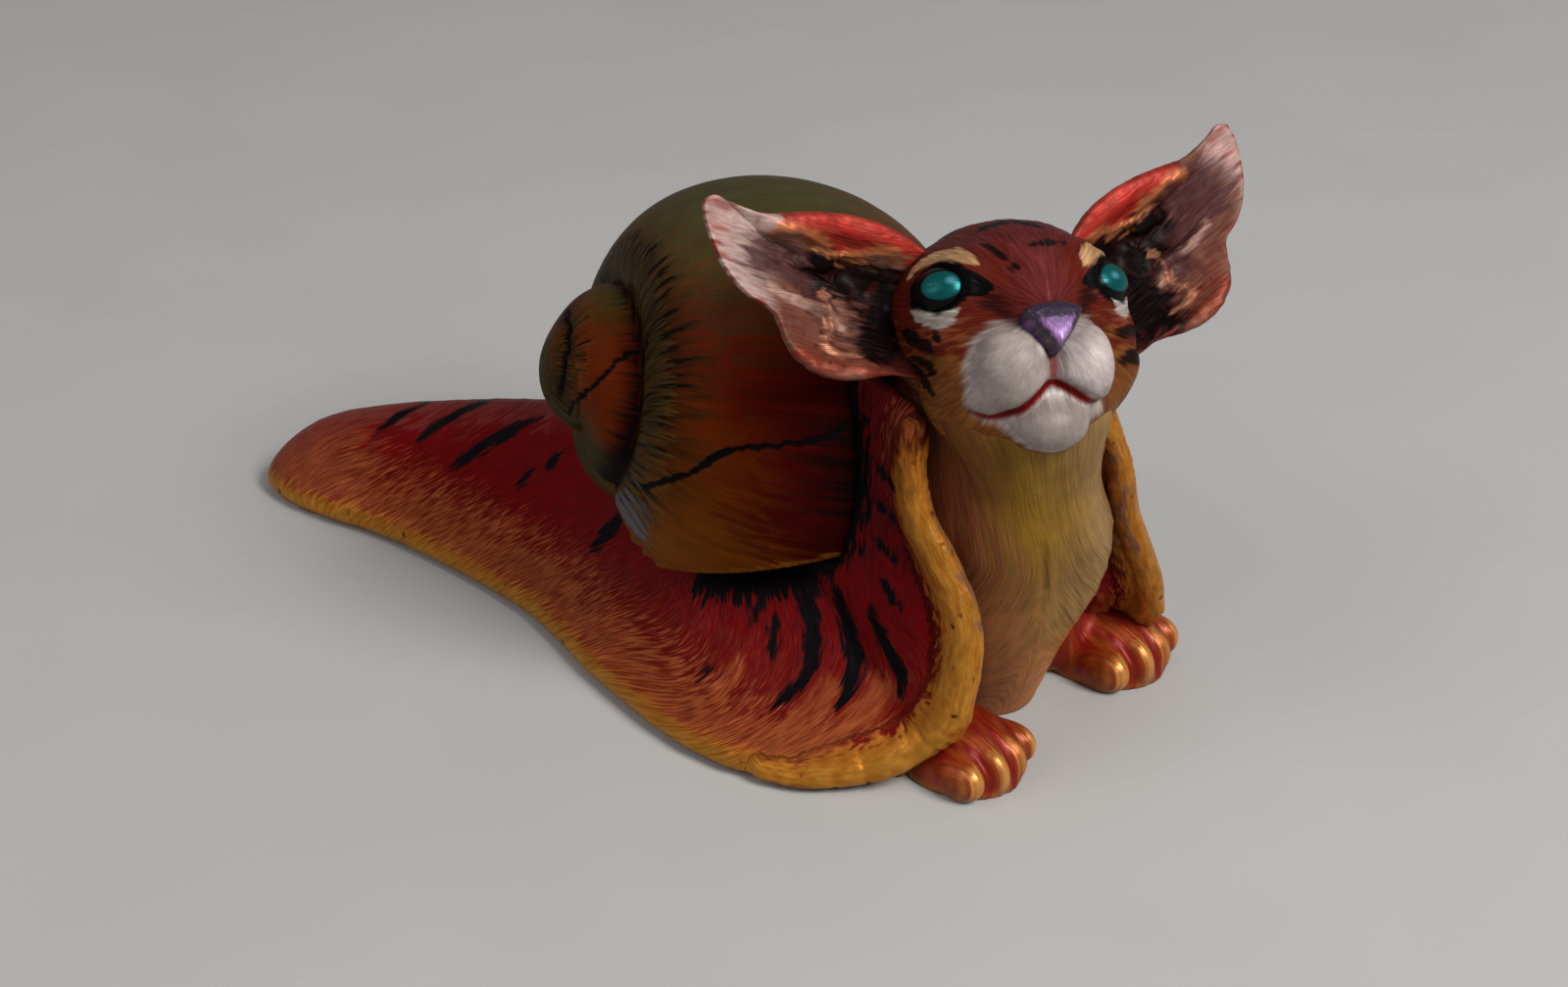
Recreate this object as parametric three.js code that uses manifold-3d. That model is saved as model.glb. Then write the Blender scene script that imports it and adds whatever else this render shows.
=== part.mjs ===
// A snail-cat figurine: a cat's head, chest and forepaws on a slug's foot, with a coiled shell on its back.
// Millimetres. X points forwards, Y to the animal's left and Z up. The origin is on the sole, under the shell.
import * as THREE from 'three';
import { mergeVertices } from 'three/addons/utils/BufferGeometryUtils.js';
import Module from 'manifold-3d';

const wasm = await Module();
wasm.setup();

// Driving dimensions

const GAP = 0.3; // clearance left between two pieces that meet

// Slug's foot, seen from above and from the side
const TAIL_REACH = 65.5; // origin to the tail's tip
const FOOT_REACH = 28; // origin to the foot's front
const TAIL_HALF_WIDTH = 9.2;
const SKIRT_HALF_WIDTH = 24;
const TAIL_HEIGHT = 12.4;
const BACK_HEIGHT = 22.5; // back of the body, where the shell sits
const FOOT_FRONT_HEIGHT = 9;
const TAIL_SWEEP = 6.5; // how far the tail's tip swings to the right
const SKIRT_EDGE = 2.6; // height of the skirt's blunt edge
const TURN_UNDER = 0.9; // how far that edge turns under

// Hood of the cape, which rises from the foot to the back of the head
const HOOD_SET_BACK = 15; // foot's front to the middle of the hood, at the sole
const HOOD_LEAN = 6; // how far the hood leans forwards by the time it meets the head
const HOOD_ASIDE = 4; // how far the middle of the hood stands to the left, at the sole
const HOOD_BASE_WIDTH = 40;
const HOOD_TOP_WIDTH = 20;
const HOOD_BASE_BACK = 14; // behind the hood's middle, at the sole
const HOOD_TOP_BACK = 7.5; // the same under the head
const RIM_RADIUS = 1.5; // rolled rim of the cape
const RIM_BASE_LEAD = 12; // ahead of the hood's middle to the rim, at the sole
const RIM_KNEE_LEAD = 19; // the same where the rim stands furthest forward
const RIM_KNEE_HEIGHT = 10;
const RIM_TOP_LEAD = 9; // the same under the head
const RIM_ROUND = 58; // degrees round the hood, from its front, to the rim
const CAPE_HOLLOW = 6.5; // how far the cape is hollowed between its rims
const BASE_TURN = -8; // degrees that the front of the foot turns to the right
const NECK_TURN = -25; // degrees that the neck turns to the right by the time it meets the head

// Chest and throat
const CHEST_BASE_LEAD = 14; // ahead of the hood's middle to the chest's front, at the sole
const CHEST_FULL_LEAD = 16.5; // the same at the fullest part
const CHEST_TOP_LEAD = 13; // the same under the chin
const CHEST_DEPTH = 19;
const CHEST_BASE_WIDTH = 12;
const CHEST_FULL_WIDTH = 20.5;
const CHEST_TOP_WIDTH = 16.5;
const CHEST_FULL_HEIGHT = 18; // height of the fullest part

// Head, in its own frame: X out of the face, Y to its left and Z to its crown
const HEAD_HEIGHT = 42.2; // sole to the middle of the skull
const HEAD_LEAD = 6.2; // ahead of the top of the hood
const HEAD_ASIDE = -1; // how far the head stands to the left
const HEAD_SINK = 3.5; // middle of the skull to the top of the hood
const HEAD_TURN = -37; // degrees to the right
const HEAD_LIFT = 36; // degrees that the face looks up
const HEAD_TILT = 4; // degrees that the left side dips
const SKULL_LENGTH = 21;
const SKULL_WIDTH = 21.5;
const SKULL_HEIGHT = 18.6;
const BROW_RIDGE = 0.9;
const MUZZLE_REACH = 3.2; // how far the face is drawn out in front of the skull
const JAW_LENGTH = 18;
const JAW_WIDTH = 19.5;
const JAW_HEIGHT = 16;
const JAW_DROP = 13; // middle of the skull to the jaw's underside

// Pieces set into the face
const EYE_SPREAD = 16; // between the middles of the eyes
const EYE_WIDTH = 5.4;
const EYE_HEIGHT = 4.4;
const EYE_DEPTH = 3.6;
const EYE_TURN = 38; // degrees that each eye looks aside
const PAD_SPREAD = 6; // between the middles of the whisker pads
const PAD_LENGTH = 9.4;
const PAD_WIDTH = 7;
const PAD_HEIGHT = 7.4;
const PAD_DROP = 5.4; // middle of the skull to the middle of the pads
const CHIN_LENGTH = 8.5;
const CHIN_WIDTH = 9;
const CHIN_HEIGHT = 5.6;
const NOSE_WIDTH = 5.4;
const NOSE_HEIGHT = 4.2;
const NOSE_DEPTH = 3.4;
const NOSE_LIFT = 18; // degrees that the nose faces up from the face

// Ears
const EAR_LENGTH = 27; // root to tip
const EAR_WIDTH = 14;
const EAR_CUP = 3.4; // depth of the cup
const EAR_WALL = 2.4;
const EAR_RIGHT_RAISE = 24; // degrees that the ear stands up from straight out
const EAR_LEFT_RAISE = 42;
const EAR_RIGHT_LEAN = 10; // degrees that the ear leans forwards
const EAR_LEFT_LEAN = -6;
const EAR_PEG_RADIUS = 1.5;
const EAR_PEG_LENGTH = 7;

// Forepaws
const PAW_LENGTH = 15;
const PAW_WIDTH = 11;
const PAW_HEIGHT = 7;
const TOE_COUNT = 4;
const PAW_SPREAD = 23.2; // between the middles of the paws
const PAW_LEAD = 6.4; // ahead of the foot's front

// Shell
const SHELL_BEHIND = 4.2; // middle of the head to the front of the coil
const SHELL_ASIDE = 2.2; // how far the middle of the coil stands to the left
const SHELL_RADIUS = 22.4; // coil axis to the outer lip
const SHELL_ARM = 10; // coil axis to the middle of the last whorl's tube
const WHORL_HALF_LENGTH = 17.5; // half the last whorl, along the coil axis
const WHORL_SHRINK = 1.68; // a whorl is this much smaller one turn further in
const WHORL_EASE = 2; // how late in the turn that shrinking comes
const SPIRE_REACH = 24.8; // along the coil axis, from the last whorl to the apex
const WHORLS = 6;
const LIP_ANGLE = 144; // degrees from the top of the coil, forwards and down, to the lip
const SPIRE_BACK = 38.5; // degrees that the spire points backwards from the right side
const SPIRE_RISE = 13; // degrees that the spire points up
const SHELL_SINK = 18.4; // how deep the whole coil would sit in the back
const SEAT_DEPTH = 7.4; // how deep the trimmed shell is let into the back
const SEAT_SLOPE = 15; // degrees that the seat rises forwards

// Dowels that hold the head and the shell on
const DOWEL_RADIUS = 1.6;
const DOWEL_BITE = 7; // length of dowel in each of the two pieces that it joins

// Facets
const RING_POINTS = 28;
const FOOT_STATIONS = 22;
const HOOD_STATIONS = 9;
const RIM_STEPS = 14;
const SHELL_COLUMNS = 46;
const SHELL_ROWS = 18;

// Heights and places that follow from the sizes above
const hoodHeight = HEAD_HEIGHT - HEAD_SINK;
const hoodBaseX = FOOT_REACH - HOOD_SET_BACK;
const headX = hoodBaseX + HOOD_LEAN + HEAD_LEAD;

// Materials, each with the colour, roughness and metalness of its paint

const paint = (color, roughness, metalness) => new THREE.MeshStandardMaterial({ color, roughness, metalness });
const CAPE_PAINT = paint(0x8a2a16, 0.42, 0.25);
const CHEST_PAINT = paint(0xb98d3c, 0.45, 0.25);
const HEAD_PAINT = paint(0x8f3a20, 0.42, 0.2);
const PALE_PAINT = paint(0xd8ccc2, 0.45, 0.1);
const NOSE_PAINT = paint(0x6a4a8c, 0.3, 0.3);
const EYE_PAINT = paint(0x12806e, 0.15, 0.4);
const EAR_PAINT = paint(0xb06a4c, 0.4, 0.25);
const PAW_PAINT = paint(0xc0581e, 0.35, 0.3);
const SHELL_PAINT = paint(0x6b4a1c, 0.35, 0.15);
const DOWEL_METAL = paint(0xb5a26a, 0.35, 1.0);

// Small helpers

const vec = (x, y, z) => new THREE.Vector3(x, y, z);
const mix = (a, b, t) => a + (b - a) * t;
const clamp01 = (t) => Math.min(1, Math.max(0, t));
const ease = (t) => t * t * (3 - 2 * t);
const radians = THREE.MathUtils.degToRad;
const around = (count, place) => Array.from({ length: count }, (_, i) => place((2 * Math.PI * i) / count));

// A smooth profile through a few stations, as a value over a distance.
function profile(stations) {
  const spline = new THREE.SplineCurve(stations.map(([x, y]) => new THREE.Vector2(x, y)));
  const samples = spline.getPoints(20 * stations.length);
  return (x) => {
    const next = samples.findIndex((p) => p.x >= x);
    if (next <= 0) return samples[next === 0 ? 0 : samples.length - 1].y;
    const [a, b] = [samples[next - 1], samples[next]];
    return mix(a.y, b.y, (x - a.x) / (b.x - a.x));
  };
}

// Solids: closed geometry to a manifold solid and back

function bare(geometry) {
  const copy = geometry.clone();
  copy.deleteAttribute('normal');
  copy.deleteAttribute('uv');
  return mergeVertices(copy, 1e-4);
}

function solid(geometry) {
  const merged = bare(geometry);
  const vertProperties = new Float32Array(merged.attributes.position.array);
  const triVerts = new Uint32Array(merged.index.array);
  return new wasm.Manifold(new wasm.Mesh({ numProp: 3, vertProperties, triVerts }));
}

function geometryOf(body) {
  const mesh = body.getMesh();
  const geometry = new THREE.BufferGeometry();
  geometry.setAttribute('position', new THREE.BufferAttribute(new Float32Array(mesh.vertProperties), 3));
  geometry.setIndex(new THREE.BufferAttribute(new Uint32Array(mesh.triVerts), 1));
  return geometry;
}

function meshOf(name, body, material) {
  const geometry = geometryOf(body).toNonIndexed();
  geometry.computeVertexNormals();
  const mesh = new THREE.Mesh(geometry, material);
  mesh.name = name;
  return mesh;
}

// A piece is a list of plain lumps: fused they are the piece, and fused a little larger they are its room.
const fused = (lumps) => lumps.map(solid).reduce((whole, lump) => whole.add(lump));
const roomFor = (lumps) => fused(lumps.map(grown));

// The same surface moved outwards along its normals by the clearance.
function grown(geometry) {
  const merged = bare(geometry);
  merged.computeVertexNormals();
  const position = merged.attributes.position;
  const [point, normal] = [vec(), vec()];
  for (let i = 0; i < position.count; i += 1) {
    point.fromBufferAttribute(position, i);
    normal.fromBufferAttribute(merged.attributes.normal, i);
    point.addScaledVector(normal, GAP);
    position.setXYZ(i, point.x, point.y, point.z);
  }
  return merged;
}

// The solid as it lies in the figurine, or in an object's own frame.
function outOf(object, body) {
  object.updateMatrixWorld(true);
  return solid(geometryOf(body).applyMatrix4(object.matrixWorld));
}

function into(object, body) {
  object.updateMatrixWorld(true);
  return solid(geometryOf(body).applyMatrix4(object.matrixWorld.clone().invert()));
}

// Everything under a height, as a slab wider than the figurine.
function below(height) {
  const slab = new THREE.BoxGeometry(4 * TAIL_REACH, 4 * TAIL_REACH, TAIL_REACH);
  return solid(slab.translate(0, 0, height - TAIL_REACH / 2));
}

// Forms

// A skin over rings with equally many points, closed at both ends.
function loft(rings) {
  const count = rings[0].length;
  const points = rings.flat();
  for (const ring of [rings[0], rings[rings.length - 1]]) {
    points.push(ring.reduce((sum, p) => sum.add(p), vec()).divideScalar(count));
  }
  const index = [];
  for (let r = 0; r + 1 < rings.length; r += 1) {
    for (let i = 0; i < count; i += 1) {
      const [a, b] = [r * count + i, r * count + ((i + 1) % count)];
      index.push(a, b, b + count, a, b + count, a + count);
    }
  }
  const last = (rings.length - 1) * count;
  const [firstMiddle, lastMiddle] = [last + count, last + count + 1];
  for (let i = 0; i < count; i += 1) {
    const j = (i + 1) % count;
    index.push(firstMiddle, j, i, lastMiddle, last + i, last + j);
  }
  const geometry = new THREE.BufferGeometry().setFromPoints(points);
  geometry.setIndex(index);
  return geometry;
}

// A ball whose every point is put where place() says for its direction from the middle.
function shapedBall(columns, rows, place) {
  const geometry = new THREE.SphereGeometry(1, columns, rows).rotateX(Math.PI / 2);
  const position = geometry.attributes.position;
  const direction = vec();
  for (let i = 0; i < position.count; i += 1) {
    const point = place(direction.fromBufferAttribute(position, i));
    position.setXYZ(i, point.x, point.y, point.z);
  }
  return geometry;
}

const egg = (length, width, height, columns, rows) =>
  shapedBall(columns, rows, (d) => vec((d.x * length) / 2, (d.y * width) / 2, (d.z * height) / 2));

// A round rod along Z, centred on its own middle.
const rod = (radius, length, sides) =>
  new THREE.CylinderGeometry(radius, radius, length, sides).rotateX(Math.PI / 2);

// Draws the surface near a point along a vector, fading out at the reach, as a thumb moves clay.
function pull(geometry, at, by, reach) {
  const position = geometry.attributes.position;
  const point = vec();
  for (let i = 0; i < position.count; i += 1) {
    point.fromBufferAttribute(position, i);
    const share = Math.max(0, 1 - (point.distanceTo(at) / reach) ** 2) ** 2;
    point.addScaledVector(by, share);
    position.setXYZ(i, point.x, point.y, point.z);
  }
}

// Slug's foot: a loft of bell-shaped sections from the tail's tip to the front

const footHalfWidth = profile([
  [-TAIL_REACH, TAIL_HALF_WIDTH * 0.12],
  [-TAIL_REACH * 0.965, TAIL_HALF_WIDTH * 0.55],
  [-TAIL_REACH * 0.86, TAIL_HALF_WIDTH * 0.9],
  [-TAIL_REACH * 0.67, TAIL_HALF_WIDTH],
  [-TAIL_REACH * 0.34, mix(TAIL_HALF_WIDTH, SKIRT_HALF_WIDTH, 0.3)],
  [-TAIL_REACH * 0.15, mix(TAIL_HALF_WIDTH, SKIRT_HALF_WIDTH, 0.66)],
  [FOOT_REACH * 0.3, SKIRT_HALF_WIDTH],
  [FOOT_REACH * 0.75, SKIRT_HALF_WIDTH * 0.86],
  [FOOT_REACH * 0.94, SKIRT_HALF_WIDTH * 0.62],
  [FOOT_REACH, SKIRT_HALF_WIDTH * 0.45],
]);

const footHeight = profile([
  [-TAIL_REACH, SKIRT_EDGE * 0.8],
  [-TAIL_REACH * 0.92, TAIL_HEIGHT * 0.62],
  [-TAIL_REACH * 0.76, TAIL_HEIGHT * 0.93],
  [-TAIL_REACH * 0.58, mix(TAIL_HEIGHT, BACK_HEIGHT, 0.26)],
  [-TAIL_REACH * 0.3, mix(TAIL_HEIGHT, BACK_HEIGHT, 0.7)],
  [0, BACK_HEIGHT],
  [FOOT_REACH * 0.7, mix(FOOT_FRONT_HEIGHT, BACK_HEIGHT, 0.67)],
  [FOOT_REACH, FOOT_FRONT_HEIGHT],
]);

const footMiddle = (x) => (x < 0 ? -TAIL_SWEEP * (-x / TAIL_REACH) ** 2.5 : x / FOOT_REACH);

function footSection(x) {
  const halfWidth = footHalfWidth(x);
  const height = footHeight(x);
  const edge = Math.min(SKIRT_EDGE, height * 0.7);
  const under = Math.min(TURN_UNDER, halfWidth * 0.3);
  const place = (aside, z) => vec(x, footMiddle(x) + aside, z);
  const arch = RING_POINTS - 8;
  const ring = [];
  for (let i = 0; i <= arch; i += 1) {
    const across = Math.cos((Math.PI * i) / arch);
    const flank = Math.max(0, 1 - across * across) ** 1.08;
    ring.push(place(halfWidth * across, edge + (height - edge) * flank));
  }
  // The edge turns under on both sides, and the sole between them is flat.
  ring.push(place(-halfWidth, edge * 0.4));
  for (let i = 0; i <= 4; i += 1) ring.push(place(mix(under - halfWidth, halfWidth - under, i / 4), 0));
  ring.push(place(halfWidth, edge * 0.4));
  return ring;
}

function footLump() {
  const rings = [];
  for (let i = 0; i < FOOT_STATIONS; i += 1) {
    const t = i / (FOOT_STATIONS - 1);
    // Stations lie closer together towards both ends.
    rings.push(footSection(mix(-TAIL_REACH, FOOT_REACH, mix(t, ease(t), 0.55))));
  }
  return loft(rings);
}

// Hood and chest: upright lofts that turn to the right as they rise

const rise = (z) => clamp01(z / hoodHeight);

// The hood's own frame at a height: a place ahead of its middle and aside.
function hoodFrame(z) {
  const turn = radians(mix(BASE_TURN, NECK_TURN, ease(rise(z))));
  const [x, y] = [hoodBaseX + HOOD_LEAN * rise(z), mix(HOOD_ASIDE, HEAD_ASIDE, rise(z) ** 1.6)];
  return (ahead, aside) => vec(
    x + ahead * Math.cos(turn) - aside * Math.sin(turn),
    y + ahead * Math.sin(turn) + aside * Math.cos(turn),
    z,
  );
}

const hoodHalfWidth = (z) => mix(HOOD_BASE_WIDTH, HOOD_TOP_WIDTH, rise(z) ** 0.75) / 2;
const rimLead = profile([[0, RIM_BASE_LEAD], [RIM_KNEE_HEIGHT, RIM_KNEE_LEAD], [hoodHeight, RIM_TOP_LEAD]]);
const rimAside = (z) => hoodHalfWidth(z) * Math.sin(radians(RIM_ROUND));

function column(top, ringAt) {
  const rings = [];
  for (let i = 0; i < HOOD_STATIONS; i += 1) rings.push(ringAt((top * i) / (HOOD_STATIONS - 1)));
  return loft(rings);
}

function hoodLump() {
  return column(hoodHeight, (z) => {
    const at = hoodFrame(z);
    const front = rimLead(z) / Math.cos(radians(RIM_ROUND));
    const back = mix(HOOD_BASE_BACK, HOOD_TOP_BACK, rise(z));
    return around(RING_POINTS, (angle) => at(
      Math.cos(angle) * (Math.cos(angle) > 0 ? front : back),
      Math.sin(angle) * hoodHalfWidth(z),
    ));
  });
}

// What the cape leaves open: everything ahead of its rims, and a hollow between them.
function capeOpening() {
  const far = 2 * SKIRT_HALF_WIDTH;
  const strips = 10;
  return solid(column(hoodHeight + RIM_RADIUS, (z) => {
    const at = hoodFrame(z);
    const edge = rimLead(z) - RIM_RADIUS;
    const hollow = Array.from({ length: strips + 1 }, (_, i) => {
      const share = mix(1, -1, i / strips);
      return at(edge - CAPE_HOLLOW * (1 - share * share), share * rimAside(z));
    });
    return [at(edge, -far), at(far, -far), at(far, far), at(edge, far), ...hollow];
  }));
}

// Rolled rim: a tube up one front edge of the cape.
function rimLump(left) {
  const points = [];
  for (let i = 0; i <= 8; i += 1) {
    const z = mix(-2 * RIM_RADIUS, hoodHeight - 2 * RIM_RADIUS, i / 8);
    points.push(hoodFrame(z)(rimLead(z) - RIM_RADIUS, left * rimAside(z)));
  }
  return new THREE.ExtrudeGeometry(new THREE.Shape().absarc(0, 0, RIM_RADIUS, 0, 2 * Math.PI), {
    curveSegments: 3,
    steps: RIM_STEPS,
    extrudePath: new THREE.CatmullRomCurve3(points),
  });
}

function chestLump() {
  return column(hoodHeight, (z) => {
    const at = hoodFrame(z);
    const full = Math.sin((Math.PI / 2) * clamp01(z / CHEST_FULL_HEIGHT));
    const thin = ease(clamp01((z - CHEST_FULL_HEIGHT) / (hoodHeight - CHEST_FULL_HEIGHT)));
    const front = mix(mix(CHEST_BASE_LEAD, CHEST_FULL_LEAD, full), CHEST_TOP_LEAD, thin);
    const halfWidth = mix(mix(CHEST_BASE_WIDTH, CHEST_FULL_WIDTH, full), CHEST_TOP_WIDTH, thin) / 2;
    return around(RING_POINTS, (angle) => at(
      front + (CHEST_DEPTH / 2) * (Math.cos(angle) - 1),
      halfWidth * Math.sin(angle),
    ));
  });
}

// Head: a skull drawn out into brow, bridge and muzzle, with a heavy jaw

function headLumps() {
  const [ahead, side, crown] = [SKULL_LENGTH / 2, SKULL_WIDTH / 2, SKULL_HEIGHT / 2];
  const skull = egg(SKULL_LENGTH, SKULL_WIDTH, SKULL_HEIGHT, 26, 16);
  pull(skull, vec(ahead * 0.85, 0, -crown * 0.45), vec(MUZZLE_REACH, 0, -MUZZLE_REACH * 0.75), side * 0.85);
  pull(skull, vec(ahead, 0, crown * 0.2), vec(MUZZLE_REACH * 0.4, 0, 0), side * 0.45);
  for (const left of [-1, 1]) {
    const brow = vec(ahead * 0.75, left * side * 0.6, crown * 0.55);
    pull(skull, brow, vec(BROW_RIDGE, 0, BROW_RIDGE * 0.5), side * 0.38);
  }
  const jaw = egg(JAW_LENGTH, JAW_WIDTH, JAW_HEIGHT, 20, 12);
  jaw.translate(SKULL_LENGTH * 0.1, 0, JAW_HEIGHT / 2 - JAW_DROP);
  return [skull, jaw];
}

// Eyes sit on the skull's surface, above its middle.
function eyeLump(left) {
  const [across, up] = [EYE_SPREAD / SKULL_WIDTH, 0.26];
  const ahead = Math.sqrt(Math.max(0, 1 - across * across - up * up));
  const eye = egg(EYE_DEPTH, EYE_WIDTH, EYE_HEIGHT, 14, 8).rotateY(radians(-10)).rotateZ(radians(left * EYE_TURN));
  return eye.translate((ahead * SKULL_LENGTH) / 2, (left * EYE_SPREAD) / 2, (up * SKULL_HEIGHT) / 2);
}

// Front of the face, which the pads, chin and nose are set out from
const faceX = SKULL_LENGTH / 2 - MUZZLE_REACH * 0.2;

function padLump(left) {
  const pad = egg(PAD_LENGTH, PAD_WIDTH, PAD_HEIGHT, 14, 8).rotateZ(radians(left * 14));
  return pad.translate(faceX - PAD_LENGTH * 0.14, (left * PAD_SPREAD) / 2, -PAD_DROP);
}

// The two pads part on the middle of the face.
function padSolid(left) {
  const half = new THREE.BoxGeometry(2 * PAD_LENGTH, 2 * PAD_WIDTH, 2 * PAD_HEIGHT);
  half.translate(faceX, left * (PAD_WIDTH + GAP / 2), -PAD_DROP);
  return solid(padLump(left)).intersect(solid(half));
}

function chinLump() {
  const chin = egg(CHIN_LENGTH, CHIN_WIDTH, CHIN_HEIGHT, 14, 8).rotateY(radians(12));
  return chin.translate(faceX - CHIN_LENGTH * 0.26, 0, -PAD_DROP - PAD_HEIGHT * 0.5 - CHIN_HEIGHT * 0.28);
}

function noseLump() {
  const [half, top, low] = [NOSE_WIDTH / 2, NOSE_HEIGHT * 0.45, -NOSE_HEIGHT * 0.55];
  const outline = new THREE.Shape().moveTo(0, low);
  outline.quadraticCurveTo(half * 0.64, low * 0.36, half, top * 0.62);
  outline.quadraticCurveTo(half * 0.5, top * 1.1, 0, top);
  outline.quadraticCurveTo(-half * 0.5, top * 1.1, -half, top * 0.62);
  outline.quadraticCurveTo(-half * 0.64, low * 0.36, 0, low);
  const bevel = NOSE_DEPTH * 0.2;
  const nose = new THREE.ExtrudeGeometry(outline, {
    depth: NOSE_DEPTH - 2 * bevel,
    bevelSize: bevel,
    bevelThickness: bevel,
    bevelOffset: -bevel,
    bevelSegments: 2,
    curveSegments: 4,
  });
  // The outline is drawn in XY and stands up here to face along X.
  nose.rotateX(Math.PI / 2).rotateZ(Math.PI / 2).rotateY(radians(-NOSE_LIFT));
  return nose.translate(faceX + PAD_LENGTH * 0.08, 0, PAD_HEIGHT * 0.36 - PAD_DROP);
}

// Ears: cupped leaves with a peg at the root

// Seen into the cup, X runs from the root to the tip and Y towards the crown.
const earOutline = new THREE.SplineCurve([
  [0.83, 0], [0.6, 0.12], [0.36, 0.26], [0.12, 0.39], [-0.12, 0.27], [-0.24, -0.05],
  [-0.26, -0.4], [-0.1, -0.66], [0.15, -0.7], [0.36, -0.6], [0.51, -0.46], [0.68, -0.24], [0.83, 0],
].map(([along, across]) => new THREE.Vector2(along * EAR_LENGTH, across * EAR_WIDTH)));
const earMiddle = new THREE.Vector2(0.24 * EAR_LENGTH, -0.11 * EAR_WIDTH);

// Puts an ear's geometry on its side of the head; the right ear is the left one's mirror image.
function onHead(geometry, left) {
  const raise = radians(left > 0 ? EAR_LEFT_RAISE : EAR_RIGHT_RAISE);
  const lean = radians(left > 0 ? EAR_LEFT_LEAN : EAR_RIGHT_LEAN);
  const tip = vec(Math.sin(lean), left * Math.cos(lean) * Math.cos(raise), Math.cos(lean) * Math.sin(raise));
  const cup = vec(0.9, left * 0.1, 0.1);
  cup.addScaledVector(tip, -cup.dot(tip)).normalize();
  const crown = vec().crossVectors(cup, tip).multiplyScalar(left);
  const root = vec(SKULL_LENGTH * 0.06, left * SKULL_WIDTH * 0.37, SKULL_HEIGHT * 0.14);
  geometry.applyMatrix4(new THREE.Matrix4().makeBasis(tip, crown, cup).setPosition(root));
  if (left < 0) geometry.index.array.reverse();
  return geometry;
}

function earLump(left) {
  const edge = new THREE.Vector2();
  return onHead(shapedBall(26, 8, (d) => {
    const turn = Math.atan2(d.y, d.x) / (2 * Math.PI);
    const out = Math.hypot(d.x, d.y);
    earOutline.getPoint(turn < 0 ? turn + 1 : turn, edge).sub(earMiddle).multiplyScalar(out).add(earMiddle);
    const wall = Math.sign(d.z) * Math.abs(d.z) ** 0.6 * (EAR_WALL / 2);
    return vec(edge.x, edge.y, wall - EAR_CUP * (1 - out * out));
  }), left);
}

function earPegLump(left, clearance = 0) {
  const peg = rod(EAR_PEG_RADIUS + clearance, EAR_PEG_LENGTH + 2 * clearance, 14);
  return onHead(peg.rotateY(Math.PI / 2).translate(0, 0, -EAR_CUP * 0.9), left);
}

// Forepaw: wrist, foot and a row of toes, flat underneath, with its own X towards the toes

function pawLumps() {
  const foot = egg(PAW_LENGTH * 0.84, PAW_WIDTH * 0.94, PAW_HEIGHT * 1.6, 16, 10);
  foot.translate(-PAW_LENGTH * 0.46, 0, PAW_HEIGHT * 0.14);
  const wrist = egg(PAW_LENGTH * 0.6, PAW_WIDTH * 0.8, PAW_HEIGHT * 1.5, 12, 8);
  wrist.translate(-PAW_LENGTH * 0.74, 0, PAW_HEIGHT * 0.62);
  const pitch = PAW_WIDTH / TOE_COUNT;
  const toes = Array.from({ length: TOE_COUNT }, (_, i) => {
    const aside = (i - (TOE_COUNT - 1) / 2) * pitch;
    const inner = 1 - Math.abs(aside) / PAW_WIDTH;
    const toe = egg(PAW_LENGTH * 0.62, pitch * 1.2, PAW_HEIGHT * 0.95, 10, 6);
    return toe.translate(-PAW_LENGTH * (0.46 - 0.15 * inner), aside, PAW_HEIGHT * 0.34);
  });
  return [foot, wrist, ...toes];
}

// Shell: whorls that shrink and climb towards the apex, seen from a point on the coil axis

const whorlSize = (turns) => 1 / (1 + (WHORL_SHRINK - 1) * turns ** WHORL_EASE);

// How far the shell reaches from the coil's middle, at an angle round the axis and a slant from the apex.
function shellReach(angle, slant) {
  const [out, along] = [Math.sin(slant), Math.cos(slant)];
  let reach = SHELL_ARM / 2;
  for (let whorl = 0; whorl < WHORLS; whorl += 1) {
    const size = whorlSize((LIP_ANGLE - angle) / 360 + whorl);
    const [midOut, midAlong] = [SHELL_ARM * size, SPIRE_REACH * (1 - size)];
    const [halfOut, halfAlong] = [(SHELL_RADIUS - SHELL_ARM) * size, WHORL_HALF_LENGTH * size];
    // Where the slanted line leaves the whorl's oval section
    const a = (out / halfOut) ** 2 + (along / halfAlong) ** 2;
    const b = (out * midOut) / halfOut ** 2 + (along * midAlong) / halfAlong ** 2;
    const c = (midOut / halfOut) ** 2 + (midAlong / halfAlong) ** 2 - 1;
    const inside = b * b - a * c;
    if (inside > 0) reach = Math.max(reach, (b + Math.sqrt(inside)) / a);
  }
  return reach;
}

// In the shell's frame Z is the coil axis, towards the apex, X the coil's front and Y its top.
function coilLump() {
  const rings = [];
  for (let row = 1; row < SHELL_ROWS; row += 1) {
    const slant = (Math.PI * row) / SHELL_ROWS;
    rings.push(Array.from({ length: SHELL_COLUMNS }, (_, column) => {
      // Angles run from just past the lip, one turn back, to the lip itself.
      const angle = LIP_ANGLE - 360 + (360 * (column + 1)) / SHELL_COLUMNS;
      const spoke = vec(Math.sin(radians(angle)), Math.cos(radians(angle)), 0).multiplyScalar(Math.sin(slant));
      return spoke.setZ(Math.cos(slant)).multiplyScalar(shellReach(angle, slant));
    }));
  }
  return loft(rings);
}

const dowelLump = (clearance = 0) => rod(DOWEL_RADIUS + clearance, 2 * (DOWEL_BITE + clearance), 20);

// Frames of the sub-assemblies

const figurine = new THREE.Group();
const SIDES = [['right', -1], ['left', 1]];

const headGroup = new THREE.Group();
headGroup.position.set(headX, HEAD_ASIDE, HEAD_HEIGHT);
headGroup.rotation.set(radians(-HEAD_TILT), radians(-HEAD_LIFT), radians(HEAD_TURN), 'ZYX');

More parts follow.
